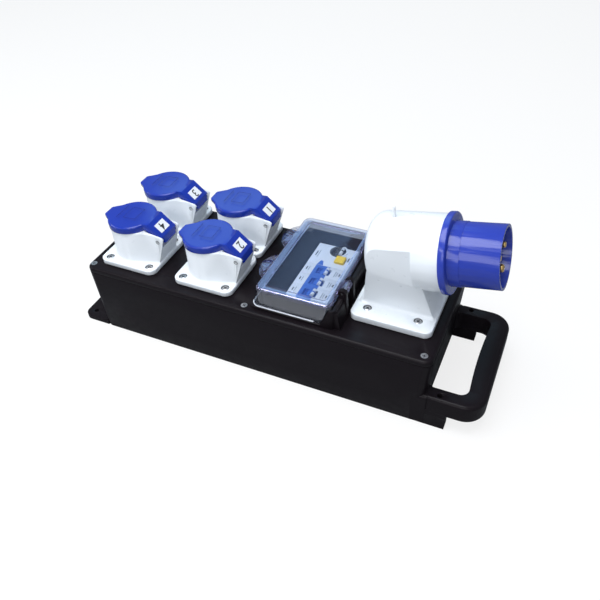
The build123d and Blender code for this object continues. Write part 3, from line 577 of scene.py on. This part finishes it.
padLook = dict(colour=(0.035, 0.13, 0.52), left=-1.0, right=15.0, slotLeft=2.7, slotHalf=5.0, slotDrop=3.15, edge=0.1, lift=0.1)
padMaterial = surface("padBlue", dict(colour=padLook["colour"], rough=0.35, grain=0.04, shift=0.05))
windowCentre = Vector((0.040, 0.0028, 0.0902))
noseTop = windowCentre.z + 18.5 * mm


def padBar(xLow, xHigh, yLow, yHigh, z):
    # One thin blue field, sizes in mm from the middle of the window.
    x, y = windowCentre.x, windowCentre.y
    return plateMesh("pad", x + xLow * mm, x + xHigh * mm, yLow, yHigh, z - 0.05 * mm, z + padLook["lift"] * mm)


def breakerPad(number, look):
    # Blue field round the lever slot and on the bottom of the slot.
    low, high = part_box(f"breaker_{number}")
    yLow, yHigh, yMiddle = low.y + look["edge"] * mm, high.y - look["edge"] * mm, (low.y + high.y) / 2
    half = look["slotHalf"] * mm
    bars = [
        padBar(look["left"], look["slotLeft"], yLow, yHigh, noseTop),
        padBar(look["slotLeft"], look["right"], yLow, yMiddle - half, noseTop),
        padBar(look["slotLeft"], look["right"], yMiddle + half, yHigh, noseTop),
        padBar(look["slotLeft"] + 0.3, 4.9, yMiddle - half + 0.2 * mm, yMiddle + half - 0.2 * mm, noseTop - look["slotDrop"] * mm),
        padBar(16.2, 18.0, yMiddle - half + 0.2 * mm, yMiddle + half - 0.2 * mm, noseTop - look["slotDrop"] * mm),
    ]
    mesh = joinMeshes("pad", bars)
    mesh.materials.append(padMaterial)
    meshObject(f"breaker_pad_{number}", mesh, None, "housing")


hubLook = dict(radius=5.75 * mm, middle=5.42 * mm, height=13.5 * mm, gap=0.9 * mm)


def fieldsOn(node, slot, name, fields):
    # Second colour within a radius of an axis or of a plane: moulded blue on the breakers and their hubs, painted shade
    # on the lever middles and the residual current breaker's recess.
    finish = surface(name, dict(plastics[slot], fields=fields))
    cadNodes[node].data.materials.clear()
    cadNodes[node].data.materials.append(finish)


def hubField(node, look, colour):
    low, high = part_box(node)
    centre = (low.x + look["middle"], (low.y + high.y) / 2, windowCentre.z + look["height"])
    hub = dict(colour=colour, centre=centre, plane=(1, 0, 1), radius=look["radius"])
    # The narrow strip along the middle of the lever, in the hub's colour, is painted shade of its concave top.
    gap = dict(colour=colour, centre=centre, plane=(0, 1, 0), radius=look["gap"])
    fieldsOn(node, "toggle_white", node + "_finish", [hub, gap])


for number in range(1, 4):
    breakerPad(number, padLook)
    hubField(f"breaker_toggle_{number}", hubLook, padLook["colour"])
    slot = dict(colour=padLook["colour"], centre=(windowCentre.x + 7.0 * mm, 0, 0), plane=(1, 0, 0), radius=8.0 * mm)
    fieldsOn(f"breaker_{number}", "breaker_white", f"breaker_{number}_finish", [slot])
low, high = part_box("rcd_body")
mesh = padBar(-1.0, 6.0, low.y + 0.2 * mm, low.y + 7.5 * mm, noseTop)
for vert in mesh.vertices:
    if vert.co.y > low.y + 4 * mm:
        vert.co.x += (windowCentre.x + 2.0 * mm - vert.co.x) * 0.6
mesh.materials.append(padMaterial)
meshObject("rcd_pad", mesh, None, "housing")
print("breaker fields made")


# Plain printed marks, and painted shade for the recess of the residual current breaker

markLook = dict(ink=(0.05, 0.055, 0.07), lift=0.05, rows=((-19.5, 1.2, 5.0), (-16.6, 0.5, 7.5), (12.5, 0.6, 9.0), (14.6, 0.6, 7.0), (17.0, 1.4, 4.0), (20.0, 0.5, 8.0)))
# colour is the painted shade of the recess; the other values size the raised guard round it.
recessLook = dict(
    colour=(0.05, 0.045, 0.042), radius=9.6, x=13.0, y=28.0,
    inner=8.3, outer=10.2, height=0.9, start=-50.0, sweep=120.0,
)
markInk = surface("markInk", dict(colour=markLook["ink"], rough=0.5, grain=0.05, shift=0.2))


def faceMarks(look):
    bars = []
    for node in ("breaker_1", "breaker_2", "breaker_3", "rcd_body"):
        low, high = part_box(node)
        middle = (low.y + high.y) / 2
        share = 1.0 if node != "rcd_body" else 1.7
        for x, length, width in look["rows"]:
            if node == "rcd_body" and x > 0 and x < 16:
                continue
            left = windowCentre.x + (10.5 + x) * mm
            half = width * share / 2 * mm
            bars.append(plateMesh("bar", left, left + length * mm, middle - half, middle + half, noseTop - 0.03 * mm, noseTop + look["lift"] * mm))
    mesh = joinMeshes("faceMarks", bars)
    mesh.materials.append(markInk)
    meshObject("breaker_marks", mesh, None, "housing")


def arcBand(inner, outer, low, high, start, sweep, steps, x, y):
    bm = bmesh.new()
    rows = []
    for step in range(steps + 1):
        turn = math.radians(start + sweep * step / steps)
        c, s = math.cos(turn), math.sin(turn)
        rows.append([bm.verts.new((x + r * c, y + r * s, z)) for r, z in ((inner, low), (outer, low), (outer, high), (inner, high))])
    for first, second in zip(rows, rows[1:]):
        for k in range(4):
            n = (k + 1) % 4
            bm.faces.new((first[k], first[n], second[n], second[k]))
    bm.faces.new(rows[0])
    bm.faces.new(rows[-1][::-1])
    bmesh.ops.recalc_face_normals(bm, faces=bm.faces)
    return bmToMesh(bm, "arcBand")


def rcdFace(look):
    x, y = windowCentre.x + look["x"] * mm, windowCentre.y + look["y"] * mm
    # The recess is only a flat dark field of painted shade; the toggle's hub in it gets the same painted shade.
    recess = dict(colour=look["colour"], centre=(x, y, 0), plane=(1, 1, 0), radius=look["radius"] * mm)
    fieldsOn("rcd_body", "breaker_white", "rcd_body_painted_recess", [recess])
    band = arcBand(look["inner"] * mm, look["outer"] * mm, noseTop - 0.03 * mm, noseTop + look["height"] * mm,
                   look["start"], look["sweep"], 24, x, y)
    meshObject("rcd_guard", band, "toggle_white", "housing")
    hubField("rcd_toggle", hubLook, look["colour"])


faceMarks(markLook)
rcdFace(recessLook)
print("breaker marks made")


# Raised lines on the blue lids, coloured darker as painted shade along their steps

reliefLook = dict(height=0.14, line=0.5, frameLength=15.0, frameWidth=20.0, frameX=3.0, crossX=-12.5, crossWidth=24.0)
lidTilt = math.radians(3.4)
# Darker blue than the lids: painted shade of the small steps of the raised lines.
reliefPaintedShade = surface("reliefPaintedShade", dict(colour=(0.006, 0.014, 0.17), rough=0.25, grain=0.02, shift=0.05))


def addBar(bm, x, y, z, length, width, height):
    made = bmesh.ops.create_cube(bm, size=1.0)["verts"]
    for vert in made:
        taper = 0.5 if vert.co.z > 0 else 1.0
        vert.co = Vector((x + vert.co.x * (length - (1 - taper) * height), y + vert.co.y * (width - (1 - taper) * height), z + (vert.co.z + 0.2) * height))


def lidRelief(number, look):
    low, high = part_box(f"lid_seal_{number}")
    middle = Vector(((low.x + high.x) / 2, (low.y + high.y) / 2, 0))
    bm = bmesh.new()
    half, side, line = look["frameLength"] / 2, look["frameWidth"] / 2, look["line"]
    height = look["height"]
    for end in (-1, 1):
        addBar(bm, look["frameX"] + end * half, 0, 0, line, look["frameWidth"] + line, height)
        addBar(bm, look["frameX"], end * side, 0, look["frameLength"] - line, line, height)
    addBar(bm, look["crossX"], 0, 0, line * 1.3, look["crossWidth"], height * 1.4)
    for vert in bm.verts:
        vert.co *= mm
    mesh = bmToMesh(bm, "lidRelief")
    place = Matrix.Translation((middle.x, middle.y, lidTopAt(number))) @ Matrix.Rotation(-lidTilt, 4, "Y")
    mesh.transform(place)
    mesh.materials.append(reliefPaintedShade)
    piece = meshObject(f"lid_relief_{number}", mesh, None, f"lid_{number}")
    return piece


def lidTopAt(number):
    # Height of the flat lid top above the middle of the mouth.
    low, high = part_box(f"lid_seal_{number}")
    middle = (low.x + high.x) / 2
    hits = []
    for polygon in cadNodes[f"socket_lid_{number}"].data.polygons:
        normal = polygon.normal
        if normal.z > 0.995:
            centre = polygon.center
            hits.append(centre.z + (centre.x - middle) * normal.x / normal.z)
    return max(hits)


for number in range(1, 5):
    lidRelief(number, reliefLook)
print("lid relief made")


# Fan ribs on the finger tabs of the hood

ribLook = dict(count=9, spread=118.0, inner=7.0, outer=21.0, width=0.9, height=0.6, seed=2)


def fanTree():
    # Turns one rib about the tab's middle, a step at a time.
    tree = bpy.data.node_groups.new("fanOfRibs", "GeometryNodeTree")
    face = tree.interface
    face.new_socket("Points", in_out="INPUT", socket_type="NodeSocketGeometry")
    face.new_socket("Rib", in_out="INPUT", socket_type="NodeSocketObject")
    face.new_socket("Step", in_out="INPUT", socket_type="NodeSocketFloat")
    face.new_socket("Start", in_out="INPUT", socket_type="NodeSocketFloat")
    face.new_socket("Count", in_out="INPUT", socket_type="NodeSocketInt")
    face.new_socket("Finish", in_out="INPUT", socket_type="NodeSocketMaterial")
    face.new_socket("Ribs", in_out="OUTPUT", socket_type="NodeSocketGeometry")
    start = tree.nodes.new("NodeGroupInput")
    end = tree.nodes.new("NodeGroupOutput")
    copies = tree.nodes.new("GeometryNodeDuplicateElements")
    copies.domain = "POINT"
    info = tree.nodes.new("GeometryNodeObjectInfo")
    multiply = tree.nodes.new("ShaderNodeMath")
    multiply.operation = "MULTIPLY_ADD"
    turn = tree.nodes.new("ShaderNodeCombineXYZ")
    onPoints = tree.nodes.new("GeometryNodeInstanceOnPoints")
    realize = tree.nodes.new("GeometryNodeRealizeInstances")
    finish = tree.nodes.new("GeometryNodeSetMaterial")
    link = tree.links.new
    link(start.outputs["Points"], copies.inputs["Geometry"])
    link(start.outputs["Count"], copies.inputs["Amount"])
    link(copies.outputs["Duplicate Index"], multiply.inputs[0])
    link(start.outputs["Step"], multiply.inputs[1])
    link(start.outputs["Start"], multiply.inputs[2])
    link(multiply.outputs["Value"], turn.inputs["Z"])
    link(start.outputs["Rib"], info.inputs["Object"])
    link(copies.outputs["Geometry"], onPoints.inputs["Points"])
    link(info.outputs["Geometry"], onPoints.inputs["Instance"])
    link(turn.outputs["Vector"], onPoints.inputs["Rotation"])
    link(onPoints.outputs["Instances"], realize.inputs["Geometry"])
    link(realize.outputs["Geometry"], finish.inputs["Geometry"])
    link(start.outputs["Finish"], finish.inputs["Material"])
    link(finish.outputs["Geometry"], end.inputs["Ribs"])
    return tree


def grow(name, tree, points, values):
    # Runs a node tree on loose points and returns the result as a plain mesh.
    cloud = bpy.data.meshes.new(name + "Points")
    cloud.from_pydata(points, [], [])
    holder = bpy.data.objects.new(name + "Holder", cloud)
    scene.collection.objects.link(holder)
    change = holder.modifiers.new("grow", "NODES")
    change.node_group = tree
    for item in tree.interface.items_tree:
        if item.in_out == "INPUT" and item.name in values:
            change[item.identifier] = values[item.name]
    depsgraph = bpy.context.evaluated_depsgraph_get()
    mesh = bpy.data.meshes.new_from_object(holder.evaluated_get(depsgraph))
    bpy.data.objects.remove(holder)
    return mesh


def tabRibs(look):
    low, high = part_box("window_cover")
    top = high.z
    for node in cadNodes["window_cover"].data.vertices:
        if node.co.x < low.x + 0.5 * mm:
            top = min(top, node.co.z)
    tabTop = windowCentre.z + 25.6 * mm
    bm = bmesh.new()
    addBar(bm, -(look["inner"] + look["outer"]) / 2, 0, 0, look["outer"] - look["inner"], look["width"], look["height"])
    for vert in bm.verts:
        vert.co *= mm
    rib = bpy.data.objects.new("ribTool", bmToMesh(bm, "rib"))
    scene.collection.objects.link(rib)
    step = math.radians(look["spread"] / (look["count"] - 1))
    radius = (40.0 ** 2 / 4 + 10.8 ** 2) / (2 * 10.8)
    points = [(low.x + radius * mm, windowCentre.y + side * 27.8 * mm, tabTop) for side in (-1, 1)]
    values = {"Rib": rib, "Step": step, "Start": -math.radians(look["spread"] / 2), "Count": look["count"], "Finish": finishes["hood_clear"]}
    mesh = grow("tabRibs", fanTree(), points, values)
    bpy.data.objects.remove(rib)
    piece = bpy.data.objects.new("hood_tab_ribs", mesh)
    scene.collection.objects.link(piece)
    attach(piece, "hood")


tabRibs(ribLook)
print("hood ribs made")


# Lower rim of the clear hood, pale as a painted highlight along its clear edge

def sweep(path, profile, name):
    # Runs a small closed profile along an open path lying flat, profile in outward and upward steps.
    bm = bmesh.new()
    rows = []
    for index, point in enumerate(path):
        before = path[max(index - 1, 0)]
        after = path[min(index + 1, len(path) - 1)]
        along = (after - before).normalized()
        outward = along.cross(Vector((0, 0, 1)))
        rows.append([bm.verts.new(point + outward * out + Vector((0, 0, up))) for out, up in profile])
    count = len(profile)
    for first, second in zip(rows, rows[1:]):
        for k in range(count):
            bm.faces.new((first[k], first[(k + 1) % count], second[(k + 1) % count], second[k]))
    bm.faces.new(rows[0])
    bm.faces.new(rows[-1][::-1])
    bmesh.ops.recalc_face_normals(bm, faces=bm.faces)
    return bmToMesh(bm, name)


rimLook = dict(colour=(0.78, 0.82, 0.88), inset=0.5, height=1.1, thickness=0.9, corner=8.0, end=24.0)


def hoodRim(look):
    low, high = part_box("window_cover")
    base = windowCentre.z + 3.3 * mm
    left = min(v.co.x for v in cadNodes["window_cover"].data.vertices if v.co.z < base + 2 * mm) + look["inset"] * mm
    front, back = low.y + look["inset"] * mm, high.y - look["inset"] * mm
    end = windowCentre.x + look["end"] * mm
    radius = look["corner"] * mm
    path = [Vector((end, front, base))]
    for x, y, start in ((left + radius, front + radius, 270), (left + radius, back - radius, 180)):
        for step in range(9):
            turn = math.radians(start - 90 * step / 8)
            path.append(Vector((x + radius * math.cos(turn), y + radius * math.sin(turn), base)))
    path.append(Vector((end, back, base)))
    thick, tall = look["thickness"] * mm, look["height"] * mm
    profile = [(-thick, 0), (0, 0), (0, tall * 0.6), (-thick * 0.4, tall), (-thick, tall)]
    mesh = sweep(path, profile, "hoodRim")
    mesh.materials.append(paintedRimHighlight)
    piece = meshObject("hood_rim", mesh, None, "hood")


# Pale colour painted as the highlight along the clear edge.
paintedRimHighlight = surface("rimPaintedHighlight", dict(colour=rimLook["colour"], rough=0.2, grain=0.03, shift=0.04))
hoodRim(rimLook)
print("hood rim made")


# Flush corners between the box and the arms of the handle

blendLook = dict(
    start=171.0 * mm, corner=186.5 * mm, end=207.3 * mm, face=73.02 * mm, lean=0.0238, inner=64.0 * mm,
    straight=37.2 * mm, top=41.2 * mm, grooveLow=15.0 * mm, grooveHigh=24.0 * mm, grooveFace=73.3 * mm, grooveInner=68.0 * mm,
)


def extrudeAlongX(outline, xLow, xHigh, side):
    bm = bmesh.new()
    rings = [[bm.verts.new((x, side * y, z)) for y, z in outline] for x in (xLow, xHigh)]
    count = len(outline)
    for k in range(count):
        n = (k + 1) % count
        bm.faces.new((rings[0][k], rings[0][n], rings[1][n], rings[1][k]))
    bm.faces.new(rings[0])
    bm.faces.new(rings[1])
    bmesh.ops.recalc_face_normals(bm, faces=bm.faces)
    return bmToMesh(bm, "blend")


def cornerBlends(look):
    edge = look["top"] - look["straight"]
    face = look["face"] + look["lean"] * look["straight"]
    corner = [(look["inner"], 0.2 * mm), (look["face"], 0.2 * mm), (face, look["straight"])]
    for step in range(1, 7):
        turn = math.radians(90 * step / 6)
        corner.append((face - edge * (1 - math.cos(turn)), look["straight"] + edge * math.sin(turn)))
    corner.append((look["inner"], look["top"]))
    groove = [(look["grooveInner"], look["grooveLow"]), (look["face"] - 0.1 * mm, look["grooveLow"])]
    groove += [(look["grooveFace"], look["grooveHigh"]), (look["grooveInner"], look["grooveHigh"])]
    meshes = []
    for side in (-1, 1):
        meshes.append(extrudeAlongX(corner, look["start"], look["corner"], side))
        meshes.append(extrudeAlongX(groove, look["corner"], look["end"], side))
    meshObject("handle_blends", joinMeshes("handleBlends", meshes), "housing_black", "housing")


cornerBlends(blendLook)
print("handle corners made")


# Small concave roots where the white bodies meet their flanges

def offsetRing(outline, distance, height):
    # Moves a closed outline outwards; every outline point carries its own outward direction.
    return [Vector((x + nx * distance, y + ny * distance, height)) for x, y, nx, ny in outline]


def rootMesh(outlineAt, base, radius, limit, name):
    bm = bmesh.new()
    rows = []
    for step in range(7):
        turn = math.radians(90 * step / 6)
        rise = radius * (1 - math.cos(turn))
        out = radius * (1 - math.sin(turn)) if step < 6 else -0.3 * mm
        ring = offsetRing(outlineAt(rise), out, base + rise)
        for point in ring:
            point.x = max(limit[0], min(limit[1], point.x))
        rows.append([bm.verts.new(p) for p in ring])
    below = [bm.verts.new(v.co - Vector((0, 0, 0.3 * mm))) for v in rows[0]]
    rows.insert(0, below)
    count = len(below)
    for first, second in zip(rows, rows[1:]):
        for k in range(count):
            bm.faces.new((first[k], first[(k + 1) % count], second[(k + 1) % count], second[k]))
    bm.faces.new(rows[0])
    bm.faces.new(rows[-1][::-1])
    bmesh.ops.recalc_face_normals(bm, faces=bm.faces)
    mesh = bmToMesh(bm, name)
    for polygon in mesh.polygons:
        polygon.use_smooth = len(polygon.vertices) == 4
    return mesh


inletRootLook = dict(radius=4.0, left=-33.6, right=38.5, half=17.5, leftLean=0.127, rightLean=-0.243, sideLean=0.29)
socketRootLook = dict(radius=2.1, barrel=26.3, shift=-3.0, face=33.8, faceHalf=16.4, faceLean=0.325)


def inletRoot(look):
    low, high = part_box("inlet_housing")
    gasketLow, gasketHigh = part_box("inlet_gasket")
    x, y = (gasketLow.x + gasketHigh.x) / 2 - 1.0 * mm, (gasketLow.y + gasketHigh.y) / 2
    base = gasketHigh.z + 7.0 * mm

    def outlineAt(rise):
        left = x + look["left"] * mm + rise * look["leftLean"]
        right = x + look["right"] * mm + rise * look["rightLean"]
        half = look["half"] * mm + rise * look["sideLean"]
        points = []
        for cx, cy, start in ((right, y - half, 270), (right, y + half, 0), (left, y + half, 90), (left, y - half, 180)):
            for step in range(7):
                turn = math.radians(start + 90 * step / 6)
                points.append((cx, cy, math.cos(turn), math.sin(turn)))
        return points

    mesh = rootMesh(outlineAt, base, look["radius"] * mm, (low.x + 0.6 * mm, gasketHigh.x + 0.2 * mm), "inletRoot")
    meshObject("inlet_root", mesh, "socket_white", "housing")


def socketRoot(number, look):
    low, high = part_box(f"socket_body_{number}")
    x, y = low.x + 35.5 * mm, (low.y + high.y) / 2
    base = low.z + 5.5 * mm
    radius = look["barrel"] * mm
    centre = x + look["shift"] * mm
    face = look["face"] - look["shift"]
    lean = math.atan2(look["faceHalf"], face) + math.acos(look["barrel"] / math.hypot(face, look["faceHalf"]))

    def outlineAt(rise):
        points = []
        for step in range(41):
            turn = lean + (2 * math.pi - 2 * lean) * step / 40
            points.append((centre + radius * math.cos(turn), y + radius * math.sin(turn), math.cos(turn), math.sin(turn)))
        right = x + look["face"] * mm + rise * look["faceLean"]
        half = look["faceHalf"] * mm
        for cy, turns in ((y - half, (-lean, -lean / 2, 0)), (y + half, (0, lean / 2, lean))):
            for turn in turns:
                points.append((right, cy, math.cos(turn), math.sin(turn)))
        return points

    mesh = rootMesh(outlineAt, base, look["radius"] * mm, (low.x, x + 35.2 * mm), "socketRoot")
    meshObject(f"socket_root_{number}", mesh, "socket_white", "housing")


pinEndLook = dict(inner=1.5, outer=2.4, lift=0.06, x=37.2, height=35.6, face=16.4, ink=(0.22, 0.23, 0.24))
pinEndDark = surface("pinEndShade", dict(colour=pinEndLook["ink"], rough=0.5, grain=0.05, shift=0.1))


def pinEnds(number, look):
    # Ring round the covered end of each hinge pin, on both outer faces of the socket.
    low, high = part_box(f"socket_body_{number}")
    x, y, z = low.x + (35.5 + look["x"]) * mm, (low.y + high.y) / 2, low.z + (look["height"] - 1.0) * mm
    rings = []
    for side in (-1, 1):
        ring = arcBand(look["inner"] * mm, look["outer"] * mm, -0.05 * mm, look["lift"] * mm, 0, 360, 24, 0, 0)
        place = Matrix.Translation((x, y + side * look["face"] * mm, z)) @ Matrix.Rotation(-side * math.pi / 2, 4, "X")
        ring.transform(place)
        rings.append(ring)
    mesh = joinMeshes("pinEnds", rings)
    mesh.materials.append(pinEndDark)
    meshObject(f"pin_ends_{number}", mesh, None, "housing")


for number in range(1, 5):
    pinEnds(number, pinEndLook)
inletRoot(inletRootLook)
for number in range(1, 5):
    socketRoot(number, socketRootLook)
print("roots made")


# Floor, light and camera

floorLook = dict(pale=(0.90, 0.90, 0.90), paleShift=(0.92, 0.92, 0.92), bounce=(0.32, 0.33, 0.34), lift=0.8)


def whiteFloor(look):
    # Pale and lifted towards white for the camera, with the shadow kept; darker for the light it throws back.
    material, tree, shader = newMaterial("floorWhite")
    coords = objectCoords(tree)
    cloud = noiseValue(tree, coords, 3.0)
    path = tree.nodes.new("ShaderNodeLightPath")
    seen = path.outputs["Is Camera Ray"]
    pale = blendColour(tree, cloud, look["pale"], look["paleShift"])
    tree.links.new(blendColour(tree, seen, look["bounce"], pale), shader.inputs["Base Color"])
    shader.inputs["Roughness"].default_value = 0.8
    shader.inputs["Specular IOR Level"].default_value = 0.1
    glow = tree.nodes.new("ShaderNodeEmission")
    glow.inputs["Color"].default_value = (1, 1, 1, 1)
    share = tree.nodes.new("ShaderNodeMath")
    share.operation = "MULTIPLY"
    share.inputs[1].default_value = look["lift"]
    tree.links.new(seen, share.inputs[0])
    mix = tree.nodes.new("ShaderNodeMixShader")
    tree.links.new(share.outputs["Value"], mix.inputs[0])
    tree.links.new(shader.outputs[0], mix.inputs[1])
    tree.links.new(glow.outputs[0], mix.inputs[2])
    tree.links.new(mix.outputs[0], tree.nodes["Material Output"].inputs["Surface"])
    return material


floorMesh = bpy.data.meshes.new("floor")
size = 4.0
floorMesh.from_pydata([(-size, -size, -0.0005), (size, -size, -0.0005), (size, size, -0.0005), (-size, size, -0.0005)], [], [(0, 1, 2, 3)])
floorMesh.materials.append(whiteFloor(floorLook))
floor = bpy.data.objects.new("floor", floorMesh)
scene.collection.objects.link(floor)

world = bpy.data.worlds.new("studio")
world.use_nodes = True
scene.world = world
worldTree = world.node_tree
background = worldTree.nodes["Background"]
pathNode = worldTree.nodes.new("ShaderNodeLightPath")
whiteNode = worldTree.nodes.new("ShaderNodeBackground")
whiteNode.inputs["Color"].default_value = (1, 1, 1, 1)
mixNode = worldTree.nodes.new("ShaderNodeMixShader")
background.inputs["Color"].default_value = (0.80, 0.88, 1.0, 1)
background.inputs["Strength"].default_value = 0.36
worldTree.links.new(pathNode.outputs["Is Camera Ray"], mixNode.inputs[0])
worldTree.links.new(background.outputs[0], mixNode.inputs[1])
worldTree.links.new(whiteNode.outputs[0], mixNode.inputs[2])
worldTree.links.new(mixNode.outputs[0], worldTree.nodes["World Output"].inputs["Surface"])


def softLight(name, place, target, width, height, power, colour=(1, 1, 1)):
    lamp = bpy.data.lights.new(name, "AREA")
    lamp.shape = "RECTANGLE"
    lamp.size = width
    lamp.size_y = height
    lamp.energy = power
    lamp.color = colour
    holder = bpy.data.objects.new(name, lamp)
    scene.collection.objects.link(holder)
    holder.location = place
    aim = Vector(target) - Vector(place)
    holder.rotation_mode = "QUATERNION"
    holder.rotation_quaternion = aim.to_track_quat("-Z", "Y")
    return holder


softLight("keyTop", (-0.12, -0.25, 1.45), (0, 0, 0.08), 1.1, 0.9, 19.5, (0.96, 0.98, 1.0))
softLight("leftWindow", (-1.2, -0.32, 0.72), (0, 0, 0.1), 1.0, 0.1, 3.6, (0.98, 0.99, 1.0))
softLight("frontFill", (0.35, -1.4, 0.8), (0, 0, 0.08), 0.9, 0.6, 6.0)
softLight("edgeStrip", (-0.45, -0.95, 1.0), (0, 0, 0.1), 1.3, 0.08, 3.0)
softLight("skyBack", (-0.75, 1.45, 1.5), (0, 0, 0.1), 1.3, 1.1, 6.0, (0.42, 0.78, 1.0))

cameraData = bpy.data.cameras.new("camera")
cameraData.lens = 39.326
cameraData.sensor_width = 36.0
cameraData.clip_start = 0.01
camera = bpy.data.objects.new("camera", cameraData)
scene.collection.objects.link(camera)
right = Vector((0.91208065, 0.40803755, -0.04017762))
down = Vector((0.24610391, -0.62320609, -0.74232542))
ahead = Vector((-0.32793558, 0.66717279, -0.66883385))
placing = Matrix((right, -down, -ahead)).transposed().to_4x4()
placing.translation = Vector((0.26067839, -0.49320235, 0.54714679))
camera.matrix_world = placing
scene.camera = camera
scene.view_settings.view_transform = "Standard"
print("stage ready")
